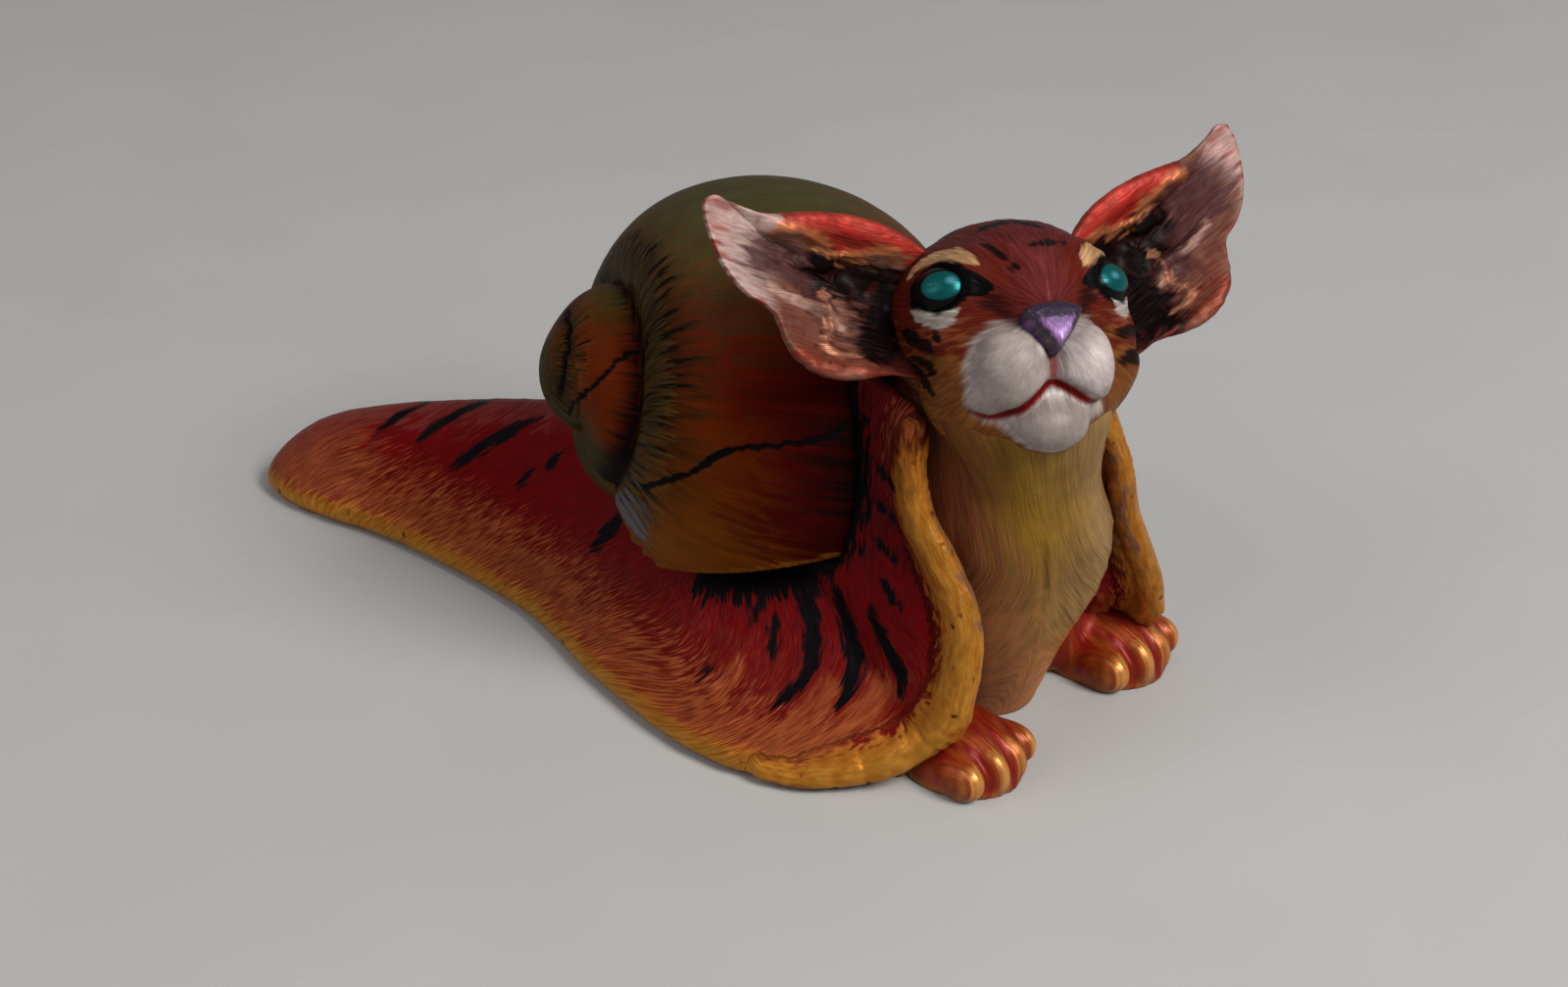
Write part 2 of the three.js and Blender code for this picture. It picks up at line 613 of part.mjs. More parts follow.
const neckGroup = new THREE.Group();
neckGroup.position.set(headX, HEAD_ASIDE, HEAD_HEIGHT - SKULL_HEIGHT / 2);

const shellGroup = new THREE.Group();
const spire = vec(0, 0, 1).applyEuler(new THREE.Euler(
  radians(90 - SPIRE_RISE), 0, radians(-SPIRE_BACK), 'ZYX',
));
const coilTop = vec(0, 0, 1).addScaledVector(spire, -spire.z).normalize();
const coilFront = vec().crossVectors(coilTop, spire);
shellGroup.quaternion.setFromRotationMatrix(new THREE.Matrix4().makeBasis(coilFront, coilTop, spire));
const shellX = headX - SHELL_BEHIND - SHELL_RADIUS;
shellGroup.position.set(shellX, SHELL_ASIDE, BACK_HEIGHT + SHELL_RADIUS - SHELL_SINK);

const seatGroup = new THREE.Group();
seatGroup.position.set(shellX, SHELL_ASIDE, BACK_HEIGHT - SEAT_DEPTH);
seatGroup.rotation.y = radians(-SEAT_SLOPE);

const pawGroups = SIDES.map(([, left]) => {
  const group = new THREE.Group();
  group.position.set(FOOT_REACH + PAW_LEAD + left * 0.8, HOOD_ASIDE * 0.6 + (left * PAW_SPREAD) / 2, 0);
  group.rotation.z = radians(BASE_TURN / 2);
  return group;
});

figurine.add(headGroup, neckGroup, shellGroup, seatGroup, ...pawGroups);

// Shell, trimmed to its seat, and its dowel

const shellDowelRoom = outOf(seatGroup, solid(dowelLump(GAP)));
const shell = outOf(shellGroup, solid(coilLump())).subtract(outOf(seatGroup, below(0)));
const roomier = 1 + GAP / SHELL_RADIUS;
const coilRoom = solid(coilLump().scale(roomier, roomier, roomier)).add(roomFor([coilLump()]));
const shellRoom = outOf(shellGroup, coilRoom).subtract(outOf(seatGroup, below(-GAP)));
shellGroup.add(meshOf('shell', into(shellGroup, shell.subtract(shellDowelRoom)), SHELL_PAINT));
seatGroup.add(meshOf('shell_dowel', solid(dowelLump()), DOWEL_METAL));

// Head and the pieces set into it, cut in the head's own frame

const neckDowelRoom = outOf(neckGroup, solid(dowelLump(GAP)));
const headRoom = roomFor(headLumps());
const noseRoom = roomFor([noseLump()]);
const padRooms = roomFor([padLump(-1), padLump(1)]);

let head = fused(headLumps()).subtract(into(headGroup, neckDowelRoom)).subtract(into(headGroup, shellRoom));
head = head.subtract(noseRoom).subtract(padRooms).subtract(roomFor([chinLump()]));
for (const [side, left] of SIDES) {
  head = head.subtract(roomFor([eyeLump(left)])).subtract(solid(earPegLump(left, GAP)));
  const ear = solid(earLump(left)).subtract(headRoom).add(solid(earPegLump(left)));
  headGroup.add(meshOf(`ear_${side}`, ear, EAR_PAINT));
  headGroup.add(meshOf(`eye_${side}`, solid(eyeLump(left)), EYE_PAINT));
  headGroup.add(meshOf(`whisker_pad_${side}`, padSolid(left).subtract(noseRoom), PALE_PAINT));
}
headGroup.add(meshOf('head', head, HEAD_PAINT));
headGroup.add(meshOf('nose', solid(noseLump()), NOSE_PAINT));
headGroup.add(meshOf('chin', solid(chinLump()).subtract(padRooms), PALE_PAINT));
neckGroup.add(meshOf('neck_dowel', solid(dowelLump()), DOWEL_METAL));

// Forepaws

SIDES.forEach(([side], i) => {
  pawGroups[i].add(meshOf(`paw_${side}`, fused(pawLumps()).subtract(below(0)), PAW_PAINT));
});

// Chest and body, each cut by what sits in it or against it

const earRooms = roomFor([earLump(-1), earLump(1)]);
const wholeHeadRoom = outOf(headGroup, headRoom.add(padRooms).add(roomFor([chinLump()])).add(earRooms));
const pawRooms = pawGroups.map((group) => outOf(group, roomFor(pawLumps())));
const neighbours = [wholeHeadRoom, shellRoom, ...pawRooms];
const cutByNeighbours = (body) => neighbours.reduce((rest, room) => rest.subtract(room), body);

const chest = cutByNeighbours(solid(chestLump())).subtract(neckDowelRoom);
figurine.add(meshOf('chest', chest, CHEST_PAINT));

const cape = fused([footLump(), hoodLump()]).subtract(capeOpening());
const rims = fused([rimLump(-1), rimLump(1)]).subtract(below(0));
const body = cutByNeighbours(cape.add(rims).subtract(roomFor([chestLump()]))).subtract(shellDowelRoom);
figurine.add(meshOf('slug_body', body, CAPE_PAINT));

export default figurine;
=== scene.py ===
"""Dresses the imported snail-cat figurine with sculpted, hand-painted pieces, a camera, lamps and a floor.

Sculpting is done in millimetres in the figurine's own frame: X forwards, Y to the animal's left, Z up.
"""

import logging
import math
from dataclasses import dataclass, replace
from enum import Enum

import bmesh
import bpy
import numpy as np
from mathutils import Matrix, Vector
from mathutils.bvhtree import BVHTree


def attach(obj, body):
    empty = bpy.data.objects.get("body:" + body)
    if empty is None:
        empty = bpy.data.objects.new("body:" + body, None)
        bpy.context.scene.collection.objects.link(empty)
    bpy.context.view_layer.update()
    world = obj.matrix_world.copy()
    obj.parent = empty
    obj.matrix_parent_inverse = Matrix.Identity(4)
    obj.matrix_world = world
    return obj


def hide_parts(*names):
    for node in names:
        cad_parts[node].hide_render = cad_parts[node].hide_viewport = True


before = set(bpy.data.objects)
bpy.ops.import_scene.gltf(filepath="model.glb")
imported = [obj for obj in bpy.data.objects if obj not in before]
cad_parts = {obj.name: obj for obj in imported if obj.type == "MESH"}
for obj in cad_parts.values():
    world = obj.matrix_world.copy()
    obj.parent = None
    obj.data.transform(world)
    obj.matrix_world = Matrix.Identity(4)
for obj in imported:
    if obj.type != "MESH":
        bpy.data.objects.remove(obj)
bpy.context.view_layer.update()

LOG = logging.getLogger("figurine")
MM = 0.001
BODY = "root"

Array = np.ndarray
Path = list[tuple[float, ...]]
Pair = tuple[float, float]
Triple = tuple[float, float, float]
Piece = bpy.types.Object
Socket = bpy.types.NodeSocket
Lump = bmesh.types.BMesh


# Small measures

def smooth(low: float | Array, high: float | Array, value: Array) -> Array:
    """Eases from 0 at low to 1 at high."""
    share = np.clip((value - low) / (high - low), 0.0, 1.0)
    return share * share * (3.0 - 2.0 * share)


def unit(vector: Array) -> Array:
    """The vector at length one."""
    return vector / np.linalg.norm(vector)


def blend(first: float | Array, second: float | Array, share: float | Array) -> float | Array:
    """Goes from the first value to the second as the share goes from 0 to 1."""
    return first + (second - first) * share


def spline(points: Path, steps: int = 12) -> Array:
    """A smooth line through a few points.

    Args:
        points: the points, in any number of dimensions.
        steps: how many short legs lie between two points.

    Returns:
        The points of the smooth line, one row each.
    """
    knots = np.asarray(points, float)
    if len(knots) < 3:
        return knots
    padded = np.vstack([2 * knots[0] - knots[1], knots, 2 * knots[-1] - knots[-2]])
    shares = np.linspace(0.0, 1.0, steps, endpoint=False)[:, None]
    line = []
    for before, start, end, after in zip(padded, padded[1:], padded[2:], padded[3:]):
        curve = (2 * before - 5 * start + 4 * end - after) * shares**2
        bend = 2 * start + (end - before) * shares + curve
        line.append(0.5 * (bend + (3 * start - before - 3 * end + after) * shares**3))
    return np.vstack([*line, knots[-1:]])


def along_path(points: Array, path: Array) -> tuple[Array, Array]:
    """Measures every point against a path.

    Args:
        points: the points, one row each.
        path: the path's points, in as many dimensions.

    Returns:
        Each point's distance from the path, and the share of the path's length that lies before it.
    """
    legs = np.diff(path, axis=0)
    lengths = np.maximum(np.linalg.norm(legs, axis=1), 1e-9)
    starts = np.concatenate([[0.0], np.cumsum(lengths)])
    near = np.full(len(points), np.inf)
    share = np.zeros(len(points))
    for start, leg, length, before in zip(path, legs, lengths, starts):
        part = np.clip((points - start) @ leg / length**2, 0.0, 1.0)
        away = np.linalg.norm(points - start - part[:, None] * leg, axis=1)
        closer = away < near
        near[closer] = away[closer]
        share[closer] = (before + part * length)[closer] / starts[-1]
    return near, share


def bell(distance: Array, width: float) -> Array:
    """A soft bump: 1 in its middle, falling away over a width."""
    return np.exp(-((distance / width) ** 2))


def taper(share: Array, fullness: float, bluntness: float) -> Array:
    """How wide a stroke is along its length: 1 in its middle and less at its blunt ends."""
    return np.sqrt(np.clip(fullness * share * (1.0 - share) + bluntness, 0.0, 1.0))


class Profile:
    """A smooth value over a distance, through a few stations."""

    def __init__(self, stations: Path) -> None:
        """Keeps the line through the stations, which are pairs of distance and value."""
        self._line = spline(stations, 20)

    def at(self, distance: float | Array) -> float | Array:
        """The value at a distance, or at many."""
        return np.interp(distance, self._line[:, 0], self._line[:, 1])


class Grain:
    """Repeatable smooth noise over two coordinates, from 0 to 1."""

    CELLS = 64

    def __init__(self, seed: int) -> None:
        """Draws the table of values that the noise runs between."""
        self._table = np.random.default_rng(seed).random((self.CELLS, self.CELLS))

    def at(self, across: Array, along: Array) -> Array:
        """The noise at each pair of coordinates."""
        column, row = np.floor(across).astype(int), np.floor(along).astype(int)
        right, up = smooth(0.0, 1.0, across - column), smooth(0.0, 1.0, along - row)
        corner = [
            self._table[(column + i) % self.CELLS, (row + j) % self.CELLS]
            for i, j in ((0, 0), (1, 0), (0, 1), (1, 1))
        ]
        return blend(blend(corner[0], corner[1], right), blend(corner[2], corner[3], right), up)


def two_grains(
    seed: int, coarse: tuple[Array, Array], fine: tuple[Array, Array], share: float = 0.5
) -> Array:
    """Coarse noise and a share of finer noise from the next seed, about a mean of 0."""
    return Grain(seed).at(*coarse) + share * Grain(seed + 1).at(*fine) - (1.0 + share) / 2


@dataclass(frozen=True)
class Place:
    """A frame of its own within the figurine: where it stands and its three axes as columns."""

    origin: Array
    axes: Array

    def inward(self, points: Array) -> Array:
        """Figurine points as this frame sees them."""
        return (points - self.origin) @ self.axes

    def outward(self, points: Array) -> Array:
        """Points of this frame as the figurine sees them."""
        return points @ self.axes.T + self.origin


def turned(axis: str, degrees: float) -> Array:
    """The matrix of a turn about X, Y or Z."""
    return np.array(Matrix.Rotation(math.radians(degrees), 3, axis))


# Clay: meshes that brushes move and paint marks

def new_piece(name: str, shape: Lump) -> Piece:
    """Makes an object of a bmesh and frees the bmesh."""
    mesh = bpy.data.meshes.new(name)
    shape.to_mesh(mesh)
    shape.free()
    piece = bpy.data.objects.new(name, mesh)
    bpy.context.scene.collection.objects.link(piece)
    return piece


def node_copy(node: str) -> Lump:
    """A merged copy of a CAD node's mesh, in millimetres."""
    shape = bmesh.new()
    shape.from_mesh(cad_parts[node].data)
    bmesh.ops.scale(shape, vec=Vector((1 / MM,) * 3), verts=shape.verts)
    bmesh.ops.remove_doubles(shape, verts=shape.verts, dist=1e-3)
    return shape


def ball(columns: int, rows: int) -> Lump:
    """A round ball of radius one, with its poles on Z."""
    shape = bmesh.new()
    bmesh.ops.create_uvsphere(shape, u_segments=columns, v_segments=rows, radius=1.0)
    return shape


def egg(size: Triple, at: Triple, columns: int = 48, turn: Array | None = None) -> Lump:
    """An egg of a length, width and height, turned if need be and standing at a point."""
    shape = ball(columns, columns // 2)
    bmesh.ops.scale(shape, vec=Vector(size) / 2, verts=shape.verts)
    if turn is not None:
        bmesh.ops.rotate(shape, matrix=Matrix(turn), verts=shape.verts)
    bmesh.ops.translate(shape, vec=Vector(at), verts=shape.verts)
    return shape


def joined(lumps: list[Lump]) -> Lump:
    """Puts several lumps into one bmesh, still separate."""
    whole = bmesh.new()
    for lump in lumps:
        carrier = bpy.data.meshes.new("lump")
        lump.to_mesh(carrier)
        lump.free()
        whole.from_mesh(carrier)
        bpy.data.meshes.remove(carrier)
    return whole


def sausage(path: Array, widths: Pair) -> list[Lump]:
    """Overlapping eggs that make a roll along a path, from one width to another."""
    sizes = np.linspace(*widths, len(path))
    return [egg((size,) * 3, tuple(spot), 24) for size, spot in zip(sizes, path)]


def kneaded(name: str, shape: Lump, cell: float) -> Piece:
    """Fuses closed lumps into one even skin.

    Args:
        name: the new piece's name.
        shape: the lumps, in millimetres.
        cell: the length of the skin's faces, in millimetres.

    Returns:
        The piece with its fused skin.
    """
    piece = new_piece(name, shape)
    fuse = piece.modifiers.new("fuse", "REMESH")
    fuse.mode = "VOXEL"
    fuse.voxel_size = cell
    settled = piece.evaluated_get(bpy.context.evaluated_depsgraph_get())
    skin = bpy.data.meshes.new_from_object(settled)
    piece.modifiers.clear()
    piece.data = skin
    return piece


class Clay:
    """A piece's points while it is sculpted and marked out for painting, in millimetres."""

    EASE = 0.5
    RETURN = -0.52
    GROOVE_FULLNESS = 4.0
    GROOVE_ENDS = 0.15
    MELT_ROUNDS = 8
    MELT_STEP = 0.8

    def __init__(self, piece: Piece) -> None:
        """Reads the piece's points and edges."""
        self.piece = piece
        mesh = piece.data
        flat = np.empty(len(mesh.vertices) * 3)
        mesh.vertices.foreach_get("co", flat)
        self.points = flat.reshape(-1, 3)
        ends = np.empty(len(mesh.edges) * 2, int)
        mesh.edges.foreach_get("vertices", ends)
        self._ends = ends.reshape(-1, 2)
        self._valence = np.maximum(np.bincount(ends, minlength=len(self.points)), 1)

    def put(self) -> None:
        """Writes the points back to the piece."""
        self.piece.data.vertices.foreach_set("co", self.points.ravel())
        self.piece.data.update()

    def normals(self) -> Array:
        """Which way the surface faces at every point."""
        self.put()
        flat = np.empty(len(self.points) * 3)
        self.piece.data.vertex_normals.foreach_get("vector", flat)
        return flat.reshape(-1, 3)

    def around(self, values: Array) -> Array:
        """The mean of every point's neighbours, for one column of values."""
        first, second = self._ends.T
        total = np.bincount(first, values[second], len(values))
        total += np.bincount(second, values[first], len(values))
        return total / self._valence

    def middles(self) -> Array:
        """The middle of every point's neighbours."""
        return np.stack([self.around(column) for column in self.points.T], axis=1)

    def relax(self, rounds: int, where: Array | None = None, hold: bool = True) -> None:
        """Smooths facets away.

        Args:
            rounds: how often every point moves towards its neighbours.
            where: how much each point takes part, from 0 to 1; all fully if left out.
            hold: whether each point then moves back, so that the piece keeps its volume.
        """
        weight = np.ones(len(self.points)) if where is None else where
        for step in ((self.EASE, self.RETURN) if hold else (self.EASE,)) * rounds:
            self.points += (step * weight)[:, None] * (self.middles() - self.points)

    def push(self, amount: Array) -> None:
        """Moves the surface out along its normals."""
        self.points += self.normals() * amount[:, None]

    def _brush(self, at: Array, reach: float) -> Array:
        """A soft round brush: 1 at its middle and 0 beyond its reach."""
        away = np.linalg.norm(self.points - at, axis=1) / reach
        return np.maximum(0.0, 1.0 - away**2) ** 2

    def swell(self, at: Array, reach: float, by: float) -> None:
        """Raises a round mound at a point, or sinks a hollow."""
        self.push(by * self._brush(at, reach))

    def pull(self, at: tuple[float, ...], reach: float, by: tuple[float, ...]) -> None:
        """Draws the clay near a point along with it."""
        self.points += self._brush(np.array(at), reach)[:, None] * np.array(by)

    def score(self, path: Array, width: float, depth: float) -> None:
        """Draws a groove along a path, or a ridge where the depth is negative."""
        away, share = along_path(self.points, path)
        self.push(-depth * taper(share, self.GROOVE_FULLNESS, self.GROOVE_ENDS) * bell(away, width))

    def onto(self, path: Array) -> Array:
        """The points of the surface that lie nearest to a path's points."""
        nearest = [np.argmin(np.sum((self.points - spot) ** 2, axis=1)) for spot in path]
        return self.points[nearest]

    def skin(self) -> BVHTree:
        """The surface as it stands, for other clay to be measured against."""
        self.put()
        shape = bmesh.new()
        shape.from_mesh(self.piece.data)
        tree = BVHTree.FromBMesh(shape)
        shape.free()
        return tree

    def melt(self, skin: BVHTree, reach: float, depth: float, where: Array) -> Array:
        """Draws the clay out into a soft fillet where it runs up against another skin.

        Args:
            skin: the other skin.
            reach: how wide the fillet is.
            depth: how deep under the other skin the clay still takes part.
            where: how much each point takes part, from 0 to 1.

        Returns:
            How far each point moved.
        """
        def outside(spot: Vector) -> float:
            """How far outside the other skin a spot lies."""
            near, facing, _, away = skin.find_nearest(spot)
            return math.copysign(away, (spot - near).dot(facing))

        moved = np.zeros(len(self.points))
        surface = zip(map(Vector, self.points), map(Vector, self.normals()))
        for index, (point, normal) in enumerate(surface):
            if skin.find_nearest(point, reach)[0] is None or outside(point) < -depth:
                continue
            sunk = 0.5 * float(smooth(-0.3 * depth, -depth, outside(point)))
            out = 0.0
            for _ in range(self.MELT_ROUNDS):
                gap = outside(point + out * normal)
                share = max(reach - abs(out - gap), 0.0) / reach
                out -= self.MELT_STEP * (min(out, gap) - share**2 * reach / 4 + sunk)
            moved[index] = where[index] * min(max(out, 0.0), reach)
        self.push(moved)
        return moved

    def hollows(self, rounds: int) -> Array:
        """How hollow the surface is at every point: below 0 on crests, above 0 in creases."""
        hollow = np.einsum("ij,ij->i", self.middles() - self.points, self.normals())
        for _ in range(rounds):
            hollow = 0.5 * hollow + 0.5 * self.around(hollow)
        return hollow / max(1e-6, float(np.percentile(np.abs(hollow), 90)))

    def mark(self, name: str, values: Array) -> None:
        """Keeps a value at every point for the paint to read."""
        layer = self.piece.data.attributes.new(name, "FLOAT", "POINT")
        layer.data.foreach_set("value", np.asarray(values, np.float32))

    def comb(self, across: Array, along: Array) -> None:
        """Keeps the way that brush strokes run: across them and along them, in millimetres."""
        layer = self.piece.data.attributes.new("flow", "FLOAT_VECTOR", "POINT")
        rows = np.stack([across, along, np.zeros(len(across))], axis=1)
        layer.data.foreach_set("vector", rows.astype(np.float32).ravel())

    def settle(self) -> Piece:
        """Writes the points back in metres and shades the piece smoothly."""
        self.points *= MM
        self.put()
        self.piece.data.shade_smooth()
        return self.piece


@dataclass(frozen=True)
class Stroke:
    """A tapering brush stroke through a few points, with its widest half width."""

    points: Path
    half_width: float

    FULLNESS = 4.2
    ENDS = 0.08

    def inside(self, points: Array) -> Array:
        """How far inside the stroke each point lies, in millimetres; below 0 outside."""
        away, share = along_path(points, spline(self.points, 6))
        return self.half_width * taper(share, self.FULLNESS, self.ENDS) - away


def painted(strokes: list[Stroke], points: Array) -> Array:
    """How far inside the nearest of several strokes each point lies."""
    return np.max([stroke.inside(points) for stroke in strokes], axis=0)


@dataclass(frozen=True)
class Patch:
    """An area of paint inside a smooth closed line, in two dimensions."""

    points: Path

    def inside(self, points: Array) -> Array:
        """How far inside the patch each point lies, in millimetres; below 0 outside."""
        edge = spline([*self.points, self.points[0]], 6)
        within = np.zeros(len(points), bool)
        x, y = points.T
        for (x0, y0), (x1, y1) in zip(edge, edge[1:]):
            spans = (y0 > y) != (y1 > y)
            crossing = x0 + (y - y0) * (x1 - x0) / (y1 - y0 if y1 != y0 else 1.0)
            within ^= spans & (x < crossing)
        away = along_path(points, edge)[0]
        return np.where(within, away, -away)


# Paints and finishes

@dataclass(frozen=True)
class Colour:
    """A paint as it looks in daylight, in parts of 255."""

    red: int
    green: int
    blue: int

    def linear(self) -> tuple[float, float, float, float]:
        """The colour as the shader counts it."""
        parts = [part / 255 for part in (self.red, self.green, self.blue)]
        even = [p / 12.92 if p <= 0.04045 else ((p + 0.055) / 1.055) ** 2.4 for p in parts]
        return (even[0], even[1], even[2], 1.0)


class Bench:
    """Sets out shader nodes in a tree and joins them."""

    def __init__(self, tree: bpy.types.NodeTree) -> None:
        """Works in the given tree."""
        self.tree = tree

    def add(self, kind: str, inputs: dict, **settings: object) -> bpy.types.Node:
        """Adds a node.

        Args:
            kind: the node's type.
            inputs: a value or another node's output for each socket, by name or number.
            settings: the node's own properties.

        Returns:
            The new node.
        """
        node = self.tree.nodes.new(kind)
        for name, value in settings.items():
            setattr(node, name, value)
        for key, value in inputs.items():
            if isinstance(value, Socket):
                self.tree.links.new(value, node.inputs[key])
            else:
                node.inputs[key].default_value = value
        return node

    def sum(self, operation: str, first: object, second: object) -> Socket:
        """One step of arithmetic."""
        return self.add("ShaderNodeMath", {0: first, 1: second}, operation=operation).outputs[0]

    def between(self, share: object, first: object, second: object) -> Socket:
        """A value between two others."""
        return self.add("ShaderNodeMix", {0: share, 2: first, 3: second}, data_type="FLOAT").outputs[0]

    def tint(self, share: object, first: object, second: object, how: str = "MIX") -> Socket:
        """A colour between two others."""
        inputs = {0: share, 6: first, 7: second}
        return self.add("ShaderNodeMix", inputs, data_type="RGBA", blend_type=how).outputs[2]

    def ramp(
        self, value: object, low: object, high: object, first: float = 0.0, last: float = 1.0
    ) -> Socket:
        """Eases a value from one range into another."""
        inputs = {0: value, 1: low, 2: high, 3: first, 4: last}
        return self.add("ShaderNodeMapRange", inputs, interpolation_type="SMOOTHSTEP").outputs[0]

    def noise(self, vector: object, scale: float, detail: float = 2.0) -> Socket:
        """Cloudy noise from 0 to 1."""
        inputs = {"Vector": vector, "Scale": scale, "Detail": detail}
        return self.add("ShaderNodeTexNoise", inputs).outputs[0]

    def mark(self, name: str, output: str = "Fac") -> Socket:
        """What the clay kept at every point under a name."""
        return self.add("ShaderNodeAttribute", {}, attribute_name=name).outputs[output]

    def place(self) -> Socket:
        """Where each spot lies on its piece."""
        return self.add("ShaderNodeTexCoord", {}).outputs["Object"]

    def surface(self, inputs: dict) -> None:
        """Ends the tree in one surface."""
        shader = self.add("ShaderNodeBsdfPrincipled", inputs)
        self.add("ShaderNodeOutputMaterial", {"Surface": shader.outputs[0]})


def new_material(name: str) -> tuple[bpy.types.Material, Bench]:
    """An empty material and the bench that fills it."""
    material = bpy.data.materials.new(name)
    material.use_nodes = True
    material.node_tree.nodes.clear()
    return material, Bench(material.node_tree)


class Effect(Enum):
    """Effects that several finishes share, each a node group."""

    STROKES = "brush strokes"
    EDGE = "painted edge"
    FLAKE = "pearl flake"
    PITS = "casting pits"


class Effects:
    """Builds the shared node groups once each."""

    SOCKETS = {
        Effect.STROKES: (["Flow:Vector", "Fineness", "Stretch"], ["Strokes", "Hairs"]),
        Effect.EDGE: (["Distance", "Strokes", "Feather", "Softness", "Streak", "Cover"], ["Mask"]),
        Effect.FLAKE: (["Position:Vector"], ["Flake", "Cloud"]),
        Effect.PITS: (["Position:Vector", "Spacing"], ["Pits"]),
    }

    def __init__(self) -> None:
        """Makes every group."""
        self._trees = {effect: self._tree(effect) for effect in Effect}

    def place(self, bench: Bench, effect: Effect, inputs: dict) -> bpy.types.Node:
        """Puts an effect into a material with its own values."""
        return bench.add("ShaderNodeGroup", inputs, node_tree=self._trees[effect])

    def _tree(self, effect: Effect) -> bpy.types.NodeTree:
        """Builds an effect's group between its sockets."""
        tree = bpy.data.node_groups.new(effect.value, "ShaderNodeTree")
        for names, side in zip(self.SOCKETS[effect], ("INPUT", "OUTPUT")):
            for name in names:
                label, _, kind = name.partition(":")
                tree.interface.new_socket(label, in_out=side, socket_type="NodeSocket" + (kind or "Float"))
        bench = Bench(tree)
        given = bench.add("NodeGroupInput", {}).outputs
        made = {
            Effect.STROKES: self._strokes,
            Effect.EDGE: self._edge,
            Effect.FLAKE: self._flake,
            Effect.PITS: self._pits,
        }[effect](bench, given)
        bench.add("NodeGroupOutput", made)
        return tree

    @staticmethod
    def _strokes(bench: Bench, given: bpy.types.NodeOutputs) -> dict:
        """Long streaks along the flow, broad ones and hair-fine ones."""
        parts = bench.add("ShaderNodeSeparateXYZ", {0: given["Flow"]}).outputs
        streaks = {}
        for name, finer, longer in (("Strokes", 1.0, 1.0), ("Hairs", 2.8, 1.8)):
            fine = bench.sum("MULTIPLY", given["Fineness"], finer)
            across = bench.sum("MULTIPLY", parts[0], fine)
            lengthwise = bench.sum("DIVIDE", bench.sum("MULTIPLY", parts[1], fine), given["Stretch"])
            along = bench.sum("DIVIDE", lengthwise, longer)
            place = bench.add("ShaderNodeCombineXYZ", {0: across, 1: along, 2: finer}).outputs[0]
            streaks[name] = bench.ramp(bench.noise(place, 1.0), 0.3, 0.7)
        return streaks

    @staticmethod
    def _edge(bench: Bench, given: bpy.types.NodeOutputs) -> dict:
        """A coat's cover from the distance inside its edge, carried out and thinned by the strokes."""
        swing = bench.sum("MULTIPLY", bench.sum("SUBTRACT", given["Strokes"], 0.5), given["Feather"])
        inside = bench.sum("ADD", given["Distance"], bench.sum("MULTIPLY", swing, 2.0))
        low = bench.sum("MULTIPLY", given["Softness"], -1.0)
        mask = bench.ramp(inside, low, given["Softness"])
        bare = bench.sum("MULTIPLY", bench.sum("SUBTRACT", 1.0, given["Strokes"]), given["Streak"])
        thinned = bench.sum("MULTIPLY", mask, bench.sum("SUBTRACT", 1.0, bare))
        return {"Mask": bench.sum("MULTIPLY", thinned, given["Cover"])}

    @staticmethod
    def _flake(bench: Bench, given: bpy.types.NodeOutputs) -> dict:
        """Fine pearl glitter and soft clouds in the paint."""
        return {
            "Flake": bench.noise(given["Position"], 5.0, 3.0),
            "Cloud": bench.noise(given["Position"], 0.35, 3.0),
        }

    @staticmethod
    def _pits(bench: Bench, given: bpy.types.NodeOutputs) -> dict:
        """Scattered pinholes of uneven size."""
        scale = bench.sum("DIVIDE", 1.0, given["Spacing"])
        cells = bench.add("ShaderNodeTexVoronoi", {"Vector": given["Position"], "Scale": scale})
        size = bench.ramp(bench.noise(given["Position"], 0.9), 0.4, 0.62, 0.03, 0.3)
        return {"Pits": bench.ramp(cells.outputs["Distance"], size, 0.0)}


EFFECTS = Effects()


@dataclass(frozen=True)
class Coat:
    """One layer of paint.

    Its mask is a mark on the piece: how far inside the coat's edge a point lies, in millimetres.
    """

    mask: str
    colour: Colour
    feather: float = 0.0
    soft: float = 0.25
    streak: float = 0.0
    cover: float = 1.0
    shine: float = 0.1
    roughness: float = 0.45
    fine: bool = False


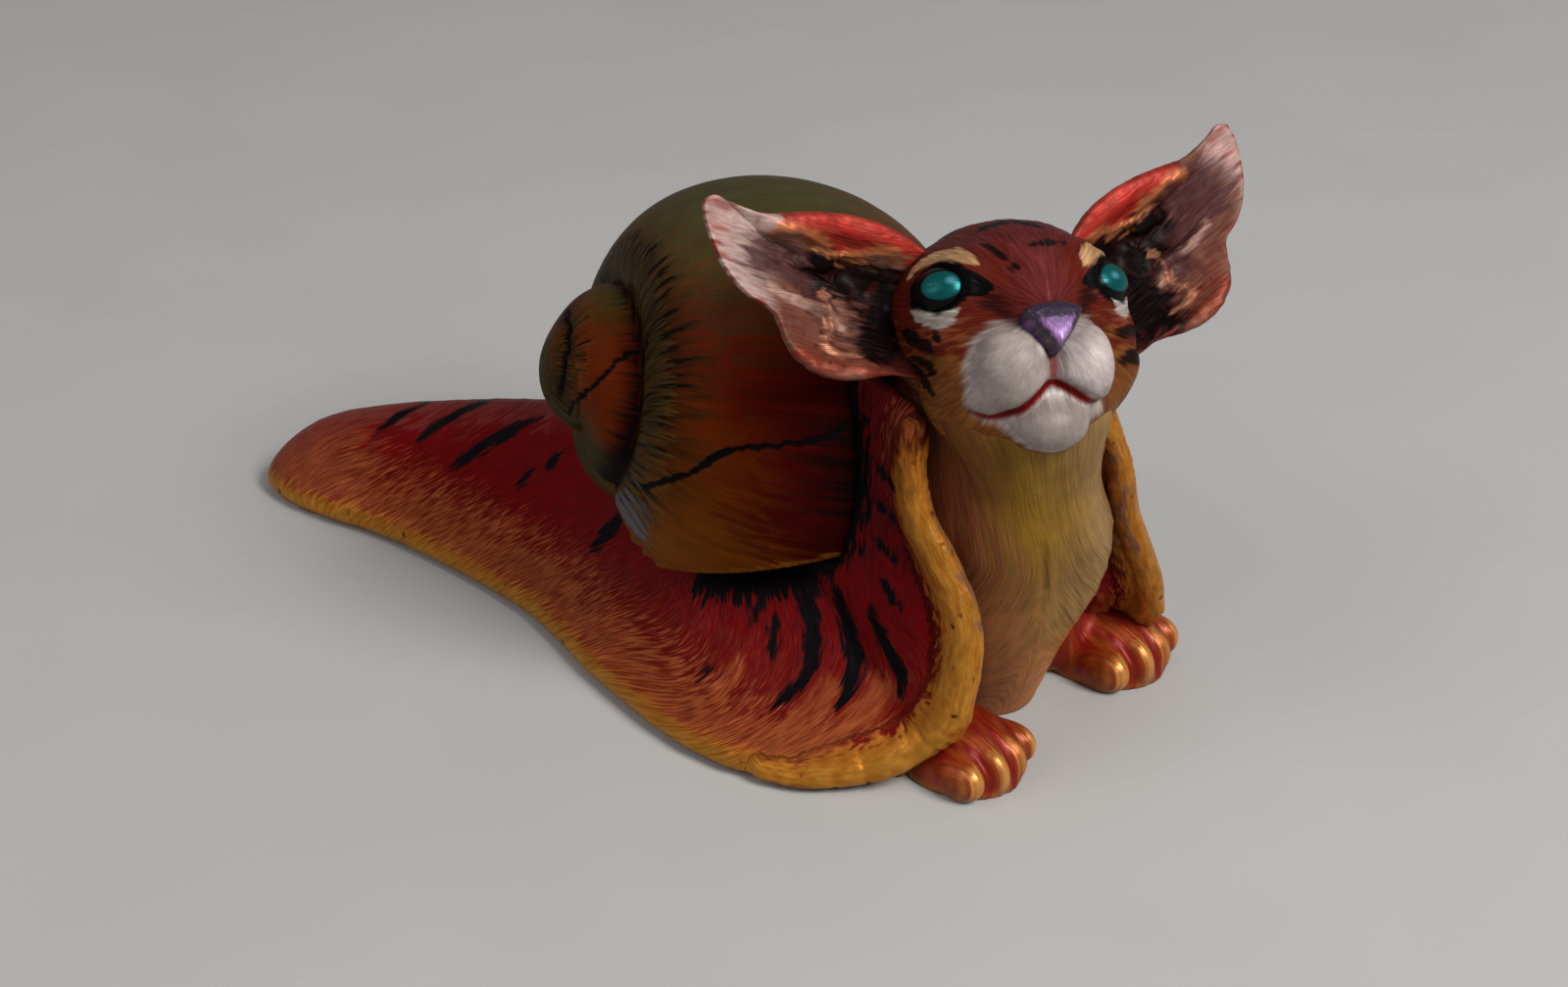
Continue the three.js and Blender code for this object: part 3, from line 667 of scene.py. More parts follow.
@dataclass(frozen=True)
class PaintedFinish:
    """Pearl paint in layers over a ground colour, with the relief that its brush strokes leave."""

    name: str
    slot: str
    ground: Colour
    coats: tuple[Coat, ...]
    shine: float = 0.1
    roughness: float = 0.45
    fineness: float = 1.5
    stretch: float = 7.0
    relief: float = 0.06
    hair_tone: float = 0.35
    pits: str = ""
    pit_colour: Colour = Colour(60, 20, 10)
    pit_spacing: float = 2.4
    gloss: float = 0.04
    varnish: float = 0.0

    HAIR_TONES = (0.45, 1.35)
    CLOUD_TONES = (0.7, 1.25)
    CLOUD = 0.3
    GLITTER = 0.3
    HAIR_RELIEF = 0.35
    VARNISH_ROUGHNESS = 0.25
    PIT_MARGIN = 0.6

    def material(self) -> bpy.types.Material:
        """Builds the finish as a material."""
        material, bench = new_material(self.name)
        inputs = {0: bench.place(), 3: 1 / MM}
        position = bench.add("ShaderNodeVectorMath", inputs, operation="SCALE").outputs[0]
        flow = bench.mark("flow", "Vector")
        brush = {"Flow": flow, "Fineness": self.fineness, "Stretch": self.stretch}
        streaks = EFFECTS.place(bench, Effect.STROKES, brush).outputs
        pearl = EFFECTS.place(bench, Effect.FLAKE, {"Position": position}).outputs
        colour, shine, roughness = self.ground.linear(), self.shine, self.roughness
        for coat in self.coats:
            mask = self._mask(bench, coat, streaks["Hairs" if coat.fine else "Strokes"])
            colour = bench.tint(mask, colour, coat.colour.linear())
            shine = bench.between(mask, shine, coat.shine)
            roughness = bench.between(mask, roughness, coat.roughness)
        if self.pits:
            colour = self._pitted(bench, position, colour)
        tone = bench.ramp(streaks["Hairs"], 0.0, 1.0, *self.HAIR_TONES)
        colour = bench.tint(self.hair_tone, colour, tone, "MULTIPLY")
        clouds = bench.ramp(pearl["Cloud"], 0.3, 0.7, *self.CLOUD_TONES)
        colour = bench.tint(self.CLOUD, colour, clouds, "MULTIPLY")
        glint = bench.sum("MULTIPLY", bench.sum("SUBTRACT", pearl["Flake"], 0.5), self.GLITTER)
        height = bench.between(self.HAIR_RELIEF, streaks["Strokes"], streaks["Hairs"])
        relief = {"Strength": 1.0, "Distance": self.relief * MM, "Height": height}
        bench.surface({
            "Base Color": colour,
            "Metallic": shine,
            "Roughness": bench.sum("ADD", roughness, glint),
            "Normal": bench.add("ShaderNodeBump", relief).outputs[0],
            "Specular IOR Level": self.gloss,
            "Coat Weight": self.varnish,
            "Coat Roughness": self.VARNISH_ROUGHNESS,
        })
        return material

    @staticmethod
    def _mask(bench: Bench, coat: Coat, strokes: Socket) -> Socket:
        """How much of a coat shows at each place."""
        values = {
            "Distance": bench.mark(coat.mask), "Strokes": strokes, "Feather": coat.feather,
            "Softness": coat.soft, "Streak": coat.streak, "Cover": coat.cover,
        }
        return EFFECTS.place(bench, Effect.EDGE, values).outputs["Mask"]

    def _pitted(self, bench: Bench, position: Socket, colour: object) -> Socket:
        """Darkens pinholes where the pits' mark allows them."""
        inputs = {"Position": position, "Spacing": self.pit_spacing}
        holes = EFFECTS.place(bench, Effect.PITS, inputs).outputs["Pits"]
        allowed = bench.ramp(bench.mark(self.pits), 0.0, self.PIT_MARGIN)
        share = bench.sum("MULTIPLY", holes, allowed)
        return bench.tint(share, colour, self.pit_colour.linear())


def dress(clay: Clay, finish: PaintedFinish, *nodes: str) -> Piece:
    """Finishes a sculpted piece and sets it on the frame in place of its solids.

    Args:
        clay: the sculpted piece.
        finish: its paint.
        nodes: the CAD nodes that it stands for.

    Returns:
        The finished piece.
    """
    piece = clay.settle()
    piece.data.materials.clear()
    piece.data.materials.append(bpy.data.materials.get(finish.name) or finish.material())
    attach(piece, BODY)
    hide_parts(*nodes)
    LOG.info("%s: %d faces, for %s", piece.name, len(piece.data.polygons), ", ".join(nodes))
    return piece


# Frames and edges that several pieces share

HEAD = Place(np.array((25.2, -1.0, 42.2)), turned("Z", -37) @ turned("Y", -36) @ turned("X", -4))
SKULL = (21.0, 21.5, 18.6)
JAW = (17.4, 18.6, 15.4)
JAW_AT = (2.2, 0.0, -4.9)
HEAD_GAP = (0.3, 3.2)
NECK_CLOSE = 1.2


def close_on_head(clay: Clay, depth: float | Array) -> None:
    """Draws the clay that comes near the head up against it, so that no gap shows between them."""
    away = HEAD.inward(clay.points) - np.array(JAW_AT)
    share = np.linalg.norm(away / (np.array(JAW) / 2), axis=1)
    near = 1.0 - smooth(*HEAD_GAP, (share - 1.0) * min(JAW) / 2)
    inward = -away / np.maximum(np.linalg.norm(away, axis=1, keepdims=True), 1e-6)
    clay.points += (depth * near)[:, None] * (inward @ HEAD.axes.T)


def trimmed(shape: Lump, at: Array, towards: Array) -> Lump:
    """Cuts a closed shape with a plane, keeps the side that the arrow points to and closes the cut."""
    whole = [*shape.verts, *shape.edges, *shape.faces]
    cut = bmesh.ops.bisect_plane(
        shape, geom=whole, dist=1e-5, plane_co=Vector(at), plane_no=Vector(towards), clear_inner=True
    )
    rim = [part for part in cut["geom_cut"] if isinstance(part, bmesh.types.BMEdge)]
    bmesh.ops.edgeloop_fill(shape, edges=rim)
    bmesh.ops.recalc_face_normals(shape, faces=shape.faces)
    return shape


@dataclass(frozen=True)
class Cape:
    """Sizes of the slug's foot and of the cape that rises from it, and where their edges run."""

    tail_reach: float = 65.5
    foot_reach: float = 28.0
    tail_half_width: float = 9.2
    skirt_half_width: float = 24.0
    tail_sweep: float = 6.5
    edge_height: float = 1.3
    hood_height: float = 38.7
    hood_base_x: float = 13.0
    hood_lean: float = 6.0
    hood_aside: float = 4.0
    neck_aside: float = -1.0
    hood_base_width: float = 40.0
    hood_top_width: float = 20.0
    rim_radius: float = 1.5
    rim_round: float = 58.0
    base_turn: float = -8.0
    neck_turn: float = -25.0
    rim_leads: Triple = (12.0, 19.0, 9.0)
    fullest_rim: float = 10.0
    width_ease: float = 0.75
    aside_ease: float = 1.6
    skirt_steps: int = 70
    rim_steps: int = 30

    def half_width(self, x: Array) -> Array:
        """Half the foot's width at a distance along it."""
        tail, skirt = self.tail_half_width, self.skirt_half_width
        back, front = self.tail_reach, self.foot_reach
        stations = [
            (-back, tail * 0.12), (-back * 0.965, tail * 0.55), (-back * 0.86, tail * 0.9),
            (-back * 0.67, tail), (-back * 0.34, blend(tail, skirt, 0.3)),
            (-back * 0.15, blend(tail, skirt, 0.66)), (front * 0.3, skirt),
            (front * 0.75, skirt * 0.86), (front * 0.94, skirt * 0.62), (front, skirt * 0.45),
        ]
        return Profile(stations).at(x)

    def middle(self, x: Array) -> Array:
        """Where the middle of the foot lies, to the left, at a distance along it."""
        swept = -self.tail_sweep * (np.maximum(-x, 0.0) / self.tail_reach) ** 2.5
        return np.where(x < 0, swept, x / self.foot_reach)

    def skirt_path(self, side: int) -> Array:
        """The line of the skirt's edge on one side, from the tail to the front."""
        x = np.linspace(-self.tail_reach, self.foot_reach - 0.5, self.skirt_steps)
        y = self.middle(x) + side * self.half_width(x)
        return np.stack([x, y, np.full_like(x, self.edge_height)], axis=1)

    def _hood(self, z: Array) -> tuple[Array, Array, Array]:
        """The hood's middle and the direction that it faces, at a height."""
        rise = np.clip(z / self.hood_height, 0.0, 1.0)
        turn = np.radians(blend(self.base_turn, self.neck_turn, smooth(0.0, 1.0, rise)))
        middle = np.stack([
            self.hood_base_x + self.hood_lean * rise,
            blend(self.hood_aside, self.neck_aside, rise**self.aside_ease),
        ], axis=-1)
        ahead = np.stack([np.cos(turn), np.sin(turn)], axis=-1)
        left = np.stack([-np.sin(turn), np.cos(turn)], axis=-1)
        return middle, ahead, left

    def from_hood(self, points: Array) -> tuple[Array, Array]:
        """How far ahead of the hood's middle, and how far to its left, each point lies."""
        middle, ahead, left = self._hood(points[:, 2])
        away = points[:, :2] - middle
        return np.sum(away * ahead, axis=1), np.sum(away * left, axis=1)

    def rim_path(self, side: int) -> Array:
        """The line of the rolled rim up one front edge of the cape."""
        z = np.linspace(0.0, self.hood_height - 2 * self.rim_radius, self.rim_steps)
        middle, ahead, left = self._hood(z)
        heights = (0.0, self.fullest_rim, self.hood_height)
        lead = Profile(list(zip(heights, self.rim_leads))).at(z) - self.rim_radius
        aside = side * self._rim_aside(z)
        return np.column_stack([middle + ahead * lead[:, None] + left * aside[:, None], z])

    def _rim_aside(self, z: Array) -> Array:
        """How far out to the side of the hood's middle a rim runs, at a height."""
        rise = np.clip(z / self.hood_height, 0.0, 1.0)
        width = blend(self.hood_base_width, self.hood_top_width, rise**self.width_ease) / 2
        return width * math.sin(math.radians(self.rim_round))

    def foot_of_rim(self, side: int) -> Array:
        """The line on which a rim's foot bends back and runs out into the skirt's edge."""
        rim, skirt = self.rim_path(side), self.skirt_path(side)
        bend = [blend(rim[5], skirt[-4], 0.3), blend(rim[3], skirt[-6], 0.6)]
        return spline([rim[7], *bend, skirt[-8], skirt[-11]], 8)

    def beyond_rim(self, points: Array) -> Array:
        """How far out to either side of the rims' lines each point lies."""
        _, aside = self.from_hood(points)
        return np.abs(aside) - self._rim_aside(points[:, 2])


@dataclass
class Shell:
    """The coiled shell on the back."""

    centre: Triple = (-1.4, 2.2, 26.5)
    spire: Triple = (-0.606, -0.762, 0.225)
    radius: float = 22.4
    arm: float = 10.0
    half_length: float = 17.5
    shrink: float = 1.68
    climb: float = 24.8
    lip: float = 144.0
    whorls: int = 6
    seat: Triple = (-1.4, 2.2, 15.1)
    seat_slope: float = 15.0
    last_seam: Pair = (0.72, 0.88)
    crown_lift: float = 0.6
    seam_depth: float = 0.6
    seam_width: float = 0.4
    line_relief: float = 0.05
    blunting: float = 1.1
    apex_groove: Pair = (0.35, 0.4)
    crack_groove: Pair = (0.3, 0.28)
    spire_groove: Pair = (0.25, 0.2)
    lip_groove: Pair = (0.22, 0.25)
    columns: int = 300
    rows: int = 150

    # Lines drawn on the shell, near its surface.
    CRACK = [
        (-2.0, -19.2, 24.8), (0.4, -19.6, 26.4), (4.0, -19.2, 28.5), (5.7, -18.5, 30.2),
        (8.3, -17.1, 31.5), (13.0, -13.5, 31.9), (14.8, -11.0, 33.0),
    ]
    SPIRE_CRACK = [
        (-12.4, -17.6, 28.6), (-11.2, -17.7, 30.3), (-8.5, -17.4, 32.9), (-6.4, -16.0, 35.7),
        (-4.0, -15.3, 37.6),
    ]
    APEX_SEAM = [
        (-15.1, -12.6, 35.6), (-13.5, -14.7, 35.2), (-12.8, -15.7, 34.2), (-12.7, -16.3, 32.8),
        (-12.7, -16.7, 31.7), (-12.8, -17.0, 30.4),
    ]
    LIP_LINES = [
        [
            (-7.0 + 0.42 * line, -17.6 - 0.16 * line, 20.8 + 0.56 * line),
            (-5.0 + 0.4 * line, -18.1 - 0.14 * line, 20.2 + 0.5 * line),
            (-3.2 + 0.36 * line, -18.5 - 0.12 * line, 18.8 + 0.48 * line),
        ]
        for line in range(9)
    ]

    def place(self) -> Place:
        """The coil's own frame: front, top and spire."""
        spire = unit(np.array(self.spire))
        top = unit(np.array((0.0, 0.0, 1.0)) - spire * spire[2])
        return Place(np.array(self.centre), np.stack([np.cross(top, spire), top, spire], axis=1))

    def seat_up(self) -> Array:
        """The direction straight out of the sloping seat."""
        slope = math.radians(self.seat_slope)
        return np.array((-math.sin(slope), 0.0, math.cos(slope)))

    def bearings(self, local: Array) -> tuple[Array, Array, Array]:
        """Each point's angle round the coil in degrees, its slant from the spire and its distance."""
        away = np.linalg.norm(local, axis=1)
        slant = np.arccos(np.clip(local[:, 2] / np.maximum(away, 1e-9), -1.0, 1.0))
        angle = np.degrees(np.arctan2(local[:, 0], local[:, 1]))
        return np.where(angle > self.lip, angle - 360.0, angle), slant, away

    def reach(self, angle: Array, slant: Array) -> tuple[Array, Array, Array, Array]:
        """How far the shell reaches from the coil's middle.

        Args:
            angle: the angle round the coil, in degrees.
            slant: the angle from the spire, in radians.

        Returns:
            The outermost whorl's reach, that of the whorl under it, the whorl's number, and the
            number of the earlier of the two.
        """
        out, along = np.sin(slant), np.cos(slant)
        best = np.full(angle.shape, self.arm / 2)
        under, which, next_to = best * 0.5, np.zeros(angle.shape), np.zeros(angle.shape)
        for whorl in range(self.whorls):
            size = 1 / (1 + (self.shrink - 1) * ((self.lip - angle) / 360 + whorl) ** 2)
            half_out, half_along = (self.radius - self.arm) * size, self.half_length * size
            mid_out, mid_along = self.arm * size / half_out, self.climb * (1 - size) / half_along
            spread = (out / half_out) ** 2 + (along / half_along) ** 2
            lean = out / half_out * mid_out + along / half_along * mid_along
            room = lean * lean - spread * (mid_out**2 + mid_along**2 - 1)
            far = np.where(room > 0, (lean + np.sqrt(np.maximum(room, 0.0))) / spread, 0.0)
            better = far > best
            next_to = np.where(better, which, np.where(far > under, whorl, next_to))
            under = np.where(better, best, np.maximum(under, far))
            which = np.where(better, whorl, which)
            best = np.where(better, far, best)
        return best, under, which, np.minimum(which, next_to)

    def clearance(self, points: Array) -> Array:
        """How far outside the shell each point of the figurine lies, measured from its middle."""
        angle, slant, away = self.bearings(self.place().inward(points))
        return away - self.reach(angle, slant)[0]

    def turns(self, angle: Array, which: Array) -> Array:
        """How many turns in from the lip each place is."""
        return (self.lip - angle) / 360 + which

    def build(self) -> Piece:
        """Coils, seats and paints the shell."""
        shape = ball(self.columns, self.rows)
        place = self.place()
        piece = new_piece("shell_coil", shape)
        clay = Clay(piece)
        angle, slant, _ = self.bearings(clay.points)
        best, under, which, earlier = self.reach(angle, slant)
        lines = two_grains(3, (angle * 0.5 + 40 * which, slant * 1.2), (angle * 1.5, slant * 2.0))
        turns, seam_turns = self.turns(angle, which), self.turns(angle, earlier)
        groove = self.seam_depth * (1.0 - smooth(*self.last_seam, seam_turns))
        blunt = smooth(1.0, 1.25, turns) * np.where(seam_turns < 0.8, smooth(0.6, 2.4, best - under), 1.0)
        best = best - groove * np.exp(-(best - under) / self.seam_width) + self.line_relief * lines
        clay.points = place.outward(clay.points * best[:, None])
        clay.relax(3)
        clay.push(self.blunting * blunt)
        clay.relax(60, blunt, hold=False)
        clay.score(clay.onto(spline(self.APEX_SEAM)), *self.apex_groove)
        crack, spire_crack = spline(self.CRACK), spline(self.SPIRE_CRACK)
        clay.score(crack, *self.crack_groove)
        clay.score(clay.onto(spire_crack), *self.spire_groove)
        for line in self.LIP_LINES[1::2]:
            clay.score(clay.onto(spline(line)), *self.lip_groove)
        clay.points[:, 2] += self.crown_lift * smooth(28.0, 48.0, clay.points[:, 2])
        clay.put()
        seated = bmesh.new()
        seated.from_mesh(piece.data)
        trimmed(seated, np.array(self.seat), self.seat_up()).to_mesh(piece.data)
        seated.free()
        clay = Clay(piece)
        self._mark(clay, crack, spire_crack)
        return dress(clay, SHELL_PAINT, "shell")

    def _mark(self, clay: Clay, crack: Array, spire_crack: Array) -> None:
        """Marks out the shell's colours, seams, cracks and lip, with painted shade at its front and along
        the spire's suture.
        """
        points = clay.points
        angle, slant, _ = self.bearings(self.place().inward(points))
        best, under, which, earlier = self.reach(angle, slant)
        seam = np.maximum(best - under, 0.0) + 9.0 * smooth(*self.last_seam, self.turns(angle, earlier))
        apex = along_path(points, clay.onto(spline(self.APEX_SEAM)))[0]
        seam = np.minimum(seam, apex)
        x, _, z = points.T
        spire = smooth(0.4, 0.6, which)
        clay.mark("olive", blend(z - 42.5, -9.0, spire))
        tip_moss = np.maximum((z - 38.0) * 1.4, (-7.8 - x) * 0.8 + 0.9 * (27.0 - z))
        clay.mark("moss", blend(np.minimum(-8.2 - x, 27.0 - z), tip_moss, spire))
        clay.mark("umber", blend(6.8 - np.abs(z - 38.0) * 0.2 - 0.85 * seam, -9.0, spire))
        clay.mark("ember", blend((x - 5.0) * 0.7 + (33.0 - z) * 0.5, 2.4 - seam + 0.4 * (31.0 - z), spire))
        clay.mark("amber", blend(np.minimum(33.0 - z, 4.0) * 0.5 + (5.5 - x) * 0.8, -9.0, spire))
        # Black paint and painted shade at the shell's front beside the hood.
        clay.mark("shell_front_shade", (x - 13.0) * 0.8 - np.abs(z - 30.0) * 0.3)
        clay.mark("straw", (22.0 - z) * 0.9 + (4.5 - x) * 0.7 - 20.0 * spire)
        clay.mark("orange", blend(-6.0, 3.4 - np.abs(seam - 3.0) - 0.3 * np.abs(z - 33.0), spire))
        clay.mark("shade", blend(-6.0, 1.3 - seam + 0.1 * (32.0 - z), spire))
        clay.mark("seam", 0.34 - seam)
        hatch = np.where(apex < 3.0, 1.4, blend(2.8, 5.5, smooth(30.0, 38.0, z)))
        clay.mark("hairline", hatch - seam - np.where(apex < 3.0, 0.0, 12.0 * spire))
        clay.mark("pale_hair", blend(2.4 - np.abs(seam - 2.2), 0.9 - np.abs(apex - 1.4), spire))
        cracks = [along_path(points, clay.onto(line))[0] for line in (crack, spire_crack)]
        clay.mark("crack", np.maximum(0.3 - cracks[0], 0.22 - cracks[1]))
        ribs = [along_path(points, clay.onto(spline(line)))[0] for line in self.LIP_LINES]
        clay.mark("ashen", 0.5 - np.min(ribs, axis=0) - 0.12 * np.argmin(ribs, axis=0))
        clay.mark("lip_line", 0.12 - np.min(ribs[1::2], axis=0))
        clay.mark("lip", 0.5 - (points - np.array(self.seat)) @ self.seat_up())
        slanted = (1.0 - spire) * 3.6 * (1.0 - np.exp(-seam / 2.2))
        clay.comb(np.radians(angle) * 17.0 + 60.0 * which + slanted, seam)


SHELL_PAINT = PaintedFinish(
    "brushed_shell_paint", "shell_paint", Colour(100, 22, 1),
    (
        Coat("ember", Colour(52, 2, 1), feather=1.5, soft=6.0),
        Coat("amber", Colour(84, 38, 3), feather=1.5, soft=5.0),
        Coat("straw", Colour(104, 54, 4), feather=1.5, soft=5.0, shine=0.12),
        # Black paint and painted shade at the shell's front beside the hood.
        Coat("shell_front_shade", Colour(12, 3, 3), feather=1.5, soft=3.0, streak=0.3),
        Coat("orange", Colour(92, 32, 3), feather=0.6, soft=2.2, shine=0.12),
        Coat("olive", Colour(60, 57, 31), feather=1.5, soft=6.0),
        Coat("moss", Colour(50, 47, 18), feather=0.8, soft=2.6),
        Coat("umber", Colour(26, 15, 4), feather=1.5, soft=3.0, streak=0.2, cover=0.9),
        Coat("shade", Colour(12, 4, 3), feather=0.5, soft=1.3),
        Coat("hairline", Colour(8, 5, 3), feather=2.6, soft=0.4, streak=0.95),
        Coat("pale_hair", Colour(88, 70, 34), feather=1.4, soft=0.4, streak=1.0, cover=0.4, fine=True),
        Coat("ashen", Colour(86, 80, 79), feather=0.5, soft=0.5, streak=0.3),
        Coat("lip_line", Colour(22, 18, 22), soft=0.2, cover=0.85),
        Coat("seam", Colour(9, 6, 5), feather=0.3, soft=0.2),
        Coat("crack", Colour(8, 5, 6), feather=0.1, soft=0.14),
        Coat("lip", Colour(120, 70, 20), feather=0.3, soft=0.2, streak=0.4, shine=0.3, roughness=0.4),
    ),
    roughness=0.44, fineness=1.3, relief=0.03, hair_tone=0.16, gloss=0.03,
)


@dataclass
class SlugBody:
    """The slug's foot and tail with the cape, its rolled rims and its stripes."""

    cape: Cape
    shell: Shell
    cell: float = 0.42
    foot_roll: Pair = (3.0, 1.2)
    wall_lump: float = 2.4
    wall_lumps: int = 5
    wall_span: Pair = (21.5, 26.3)
    wall_heights: Pair = (3.4, 8.4)
    wall_at: Triple = (24.0, 18.15, 6.0)
    wall_slopes: Pair = (0.32, 0.34)
    rim_margin: float = 0.8
    rim_swell: float = 0.4
    rim_groove: float = 0.3
    edge_swell: float = 0.3
    lock_depth: float = 0.34
    flute_depth: float = 0.5
    dent_depth: float = 0.22
    shift_reach: float = 3.4
    near_shift: Triple = (1.7, 1.2, 0.0)
    far_shift: Triple = (1.3, 0.9, 0.0)

    # How far round a rim the gold reaches, in pairs of height and distance from its line.
    RIM_GOLD = Profile([
        (0.0, 2.3), (5.0, 2.6), (10.0, 2.7), (18.0, 2.7), (24.0, 2.5), (28.0, 2.3), (31.0, 2.0),
        (36.0, 0.4),
    ])
    # Which way strokes are counted round a rim, and what keeps them unlike those beside it.
    ROUND_RIM = (0.47, 0.71, 0.52)
    RIM_STROKES = 90.0
    # Side-on strokes run through pairs of distance along the body and height.
    FLANK = [
        Stroke([(9.6, 17.0), (13.5, 12.8), (14.8, 10.5), (14.4, 8.0), (12.9, 6.4)], 0.75),
        Stroke([(14.4, 17.0), (16.7, 13.4), (18.4, 11.0), (18.9, 8.5), (18.6, 7.0)], 0.85),
        Stroke([(19.0, 16.6), (21.3, 13.5), (23.1, 11.6), (23.8, 8.7)], 0.75),
        Stroke([(20.3, 19.6), (22.9, 17.3)], 0.55),
        Stroke([(9.8, 13.0), (11.3, 10.0)], 0.6),
        Stroke([(7.8, 17.5), (8.0, 11.8)], 0.6),
        Stroke([(4.5, 16.5), (2.5, 12.8)], 0.55),
        Stroke([(5.6, 7.9), (4.6, 6.2)], 0.32),
        Stroke([(18.9, 30.8), (21.3, 29.5)], 0.5),
        Stroke([(18.8, 27.4), (21.5, 25.9)], 0.5),
        Stroke([(19.2, 23.6), (21.8, 21.8)], 0.45),
    ]
    # Strokes over the tail run through pairs of distance along it and out from its middle.
    RIDGE = [
        Stroke([(-45.2, -0.5), (-49.6, 3.9)], 0.6),
        Stroke([(-37.0, -0.5), (-43.2, 4.4)], 0.75),
        Stroke([(-28.8, 2.4), (-33.0, 4.4), (-37.6, 6.3)], 0.65),
        Stroke([(-24.5, 5.8), (-24.0, 6.6)], 0.8),
        Stroke([(-26.4, 6.8), (-28.0, 7.9)], 0.4),
        Stroke([(-11.7, 10.8), (-14.5, 12.2)], 0.8),
    ]

    def build(self) -> Piece:
        """Sculpts and paints the body."""
        feet = [lump for side in (-1, 1) for lump in sausage(self.cape.foot_of_rim(side), self.foot_roll)]
        lumps = joined([node_copy("slug_body"), *feet, *self._far_wall()])
        clay = Clay(kneaded("body_skin", lumps, self.cell))
        clay.relax(16)
        skirts = [along_path(clay.points, self.cape.skirt_path(side)) for side in (-1, 1)]
        rolls = [along_path(clay.points, self.cape.rim_path(side)) for side in (-1, 1)]
        skirt, rims = (np.min([away for away, _ in lines], axis=0) for lines in (skirts, rolls))
        beyond = self.cape.beyond_rim(clay.points)
        standing = smooth(0.1, 1.2, clay.points[:, 2])
        z = clay.points[:, 2].copy()
        web = smooth(0.6, 1.6, rims) * (1.0 - smooth(5.0, 8.0, rims)) * smooth(-0.4, 0.6, beyond)
        top = smooth(25.0, 29.0, z) * (1.0 - smooth(2.0, 4.5, rims))
        clay.relax(90, np.maximum(web, top) * smooth(1.5, 4.0, z), hold=False)
        clay.relax(60, smooth(-51.0, -57.0, clay.points[:, 0]) * standing, hold=False)
        for side, (away, _) in zip((-1, 1), rolls):
            clay.points += bell(away, self.shift_reach)[:, None] * self._shift(side, z)
        rims, turn, run = self._along_rims(clay.points)
        rolled = rims < self.RIM_GOLD.at(clay.points[:, 2]) + self.rim_margin
        across = np.where(rolled, turn + self.RIM_STROKES, self._flow(clay.points))
        along = np.where(rolled, run, skirt)
        clay.push(standing * smooth(1.0, 3.0, z) * self.rim_swell * bell(rims, 2.0))
        clay.push(-self.rim_groove * smooth(7.0, 14.0, z) * bell(rims - 3.5, 1.0))
        clay.push(standing * self.edge_swell * bell(skirt, 1.3))
        fringe = smooth(1.4, 3.0, np.minimum(skirt, rims)) * (0.3 + 0.7 * (1 - smooth(5.0, 13.0, skirt)))
        locks = two_grains(11, (across * 0.9, along * 0.12), (across * 1.9, along * 0.2))
        flutes = Grain(15).at(across * 0.45 + 30.0, along * 0.05) * smooth(0.0, 10.0, clay.points[:, 0])
        clay.push(standing * fringe * (self.lock_depth * locks + self.flute_depth * (flutes - 0.4)))
        dents = two_grains(13, (run * 0.7 + 20.0, rims * 0.6), (run * 1.9 + 20.0, rims * 1.2), 0.6)
        clay.push(-standing * (1 - smooth(1.5, 3.0, rims)) * self.dent_depth * smooth(0.1, 0.7, dents))
        close_on_head(clay, NECK_CLOSE)
        clay.points[:, 2] = np.maximum(clay.points[:, 2], 0.0)
        self._mark(clay, skirt, rims, beyond)
        # Copper paint on the flutes' crests, partly a painted highlight.
        clay.mark("crest_highlight", np.minimum(np.minimum(skirt - 2.0, 9.5 - skirt), 5.0 * (flutes - 0.55)))
        clay.comb(across, along)
        return dress(clay, BODY_PAINT, "slug_body")

    def _far_wall(self) -> list[Lump]:
        """Small lumps that back the thin wall beside the far paw."""
        spans = [np.linspace(*span, self.wall_lumps) for span in (self.wall_span, self.wall_heights)]
        x, z = (grid.ravel() for grid in np.meshgrid(*spans))
        at_x, at_y, at_z = self.wall_at
        y = at_y - self.wall_slopes[0] * (x - at_x) - self.wall_slopes[1] * (z - at_z)
        return sausage(np.stack([x, y, z], axis=1), (self.wall_lump, self.wall_lump))

    def _shift(self, side: int, z: Array) -> Array:
        """How far a rim is shifted at a height: the near one in its middle, the far one at its top."""
        if side < 0:
            share = smooth(8.0, 18.0, z) * (1.0 - smooth(19.0, 29.0, z))
            return share[:, None] * np.array(self.near_shift)
        return smooth(20.0, 29.0, z)[:, None] * np.array(self.far_shift)

    def _along_rims(self, points: Array) -> tuple[Array, Array, Array]:
        """Measures every point against the rims with their feet.

        Args:
            points: the points, one row each.

        Returns:
            Each point's distance from the nearer rim, its place round it and its place along it.
        """
        near = np.full(len(points), np.inf)
        turn, run = np.zeros(len(points)), np.zeros(len(points))
        for side in (-1, 1):
            foot, rim = self.cape.foot_of_rim(side), self.cape.rim_path(side)[8:]
            line = np.vstack([foot[::-1], rim + self._shift(side, rim[:, 2])])
            lengths = np.concatenate([[0.0], np.cumsum(np.linalg.norm(np.diff(line, axis=0), axis=1))])
            away, share = along_path(points, line)
            place = share * lengths[-1]
            middle = np.stack([np.interp(place, lengths, column) for column in line.T], axis=1)
            away = away + 1.6 * (1.0 - smooth(0.0, 9.0, place))
            closer = away < near
            near[closer], run[closer] = away[closer], place[closer]
            turn[closer] = ((points - middle) @ np.array(self.ROUND_RIM))[closer]
        return near, turn, run

    def _flow(self, points: Array) -> Array:
        """Where each point lies across the strokes, which bend at the front and sweep back at the tail."""
        x, y, z = points.T
        low = np.minimum(z, 16.0)
        front = 4.0 * (1.0 - ((low - 9.5) / 5.8) ** 2)
        back = 1.2 * (z - 10.0)
        across = x - blend(back, front, smooth(-10.0, 8.0, x))
        swept = 0.5 * x + np.abs(y - self.cape.middle(x)) - 25.0
        return blend(across, swept, smooth(-42.0, -56.0, x))

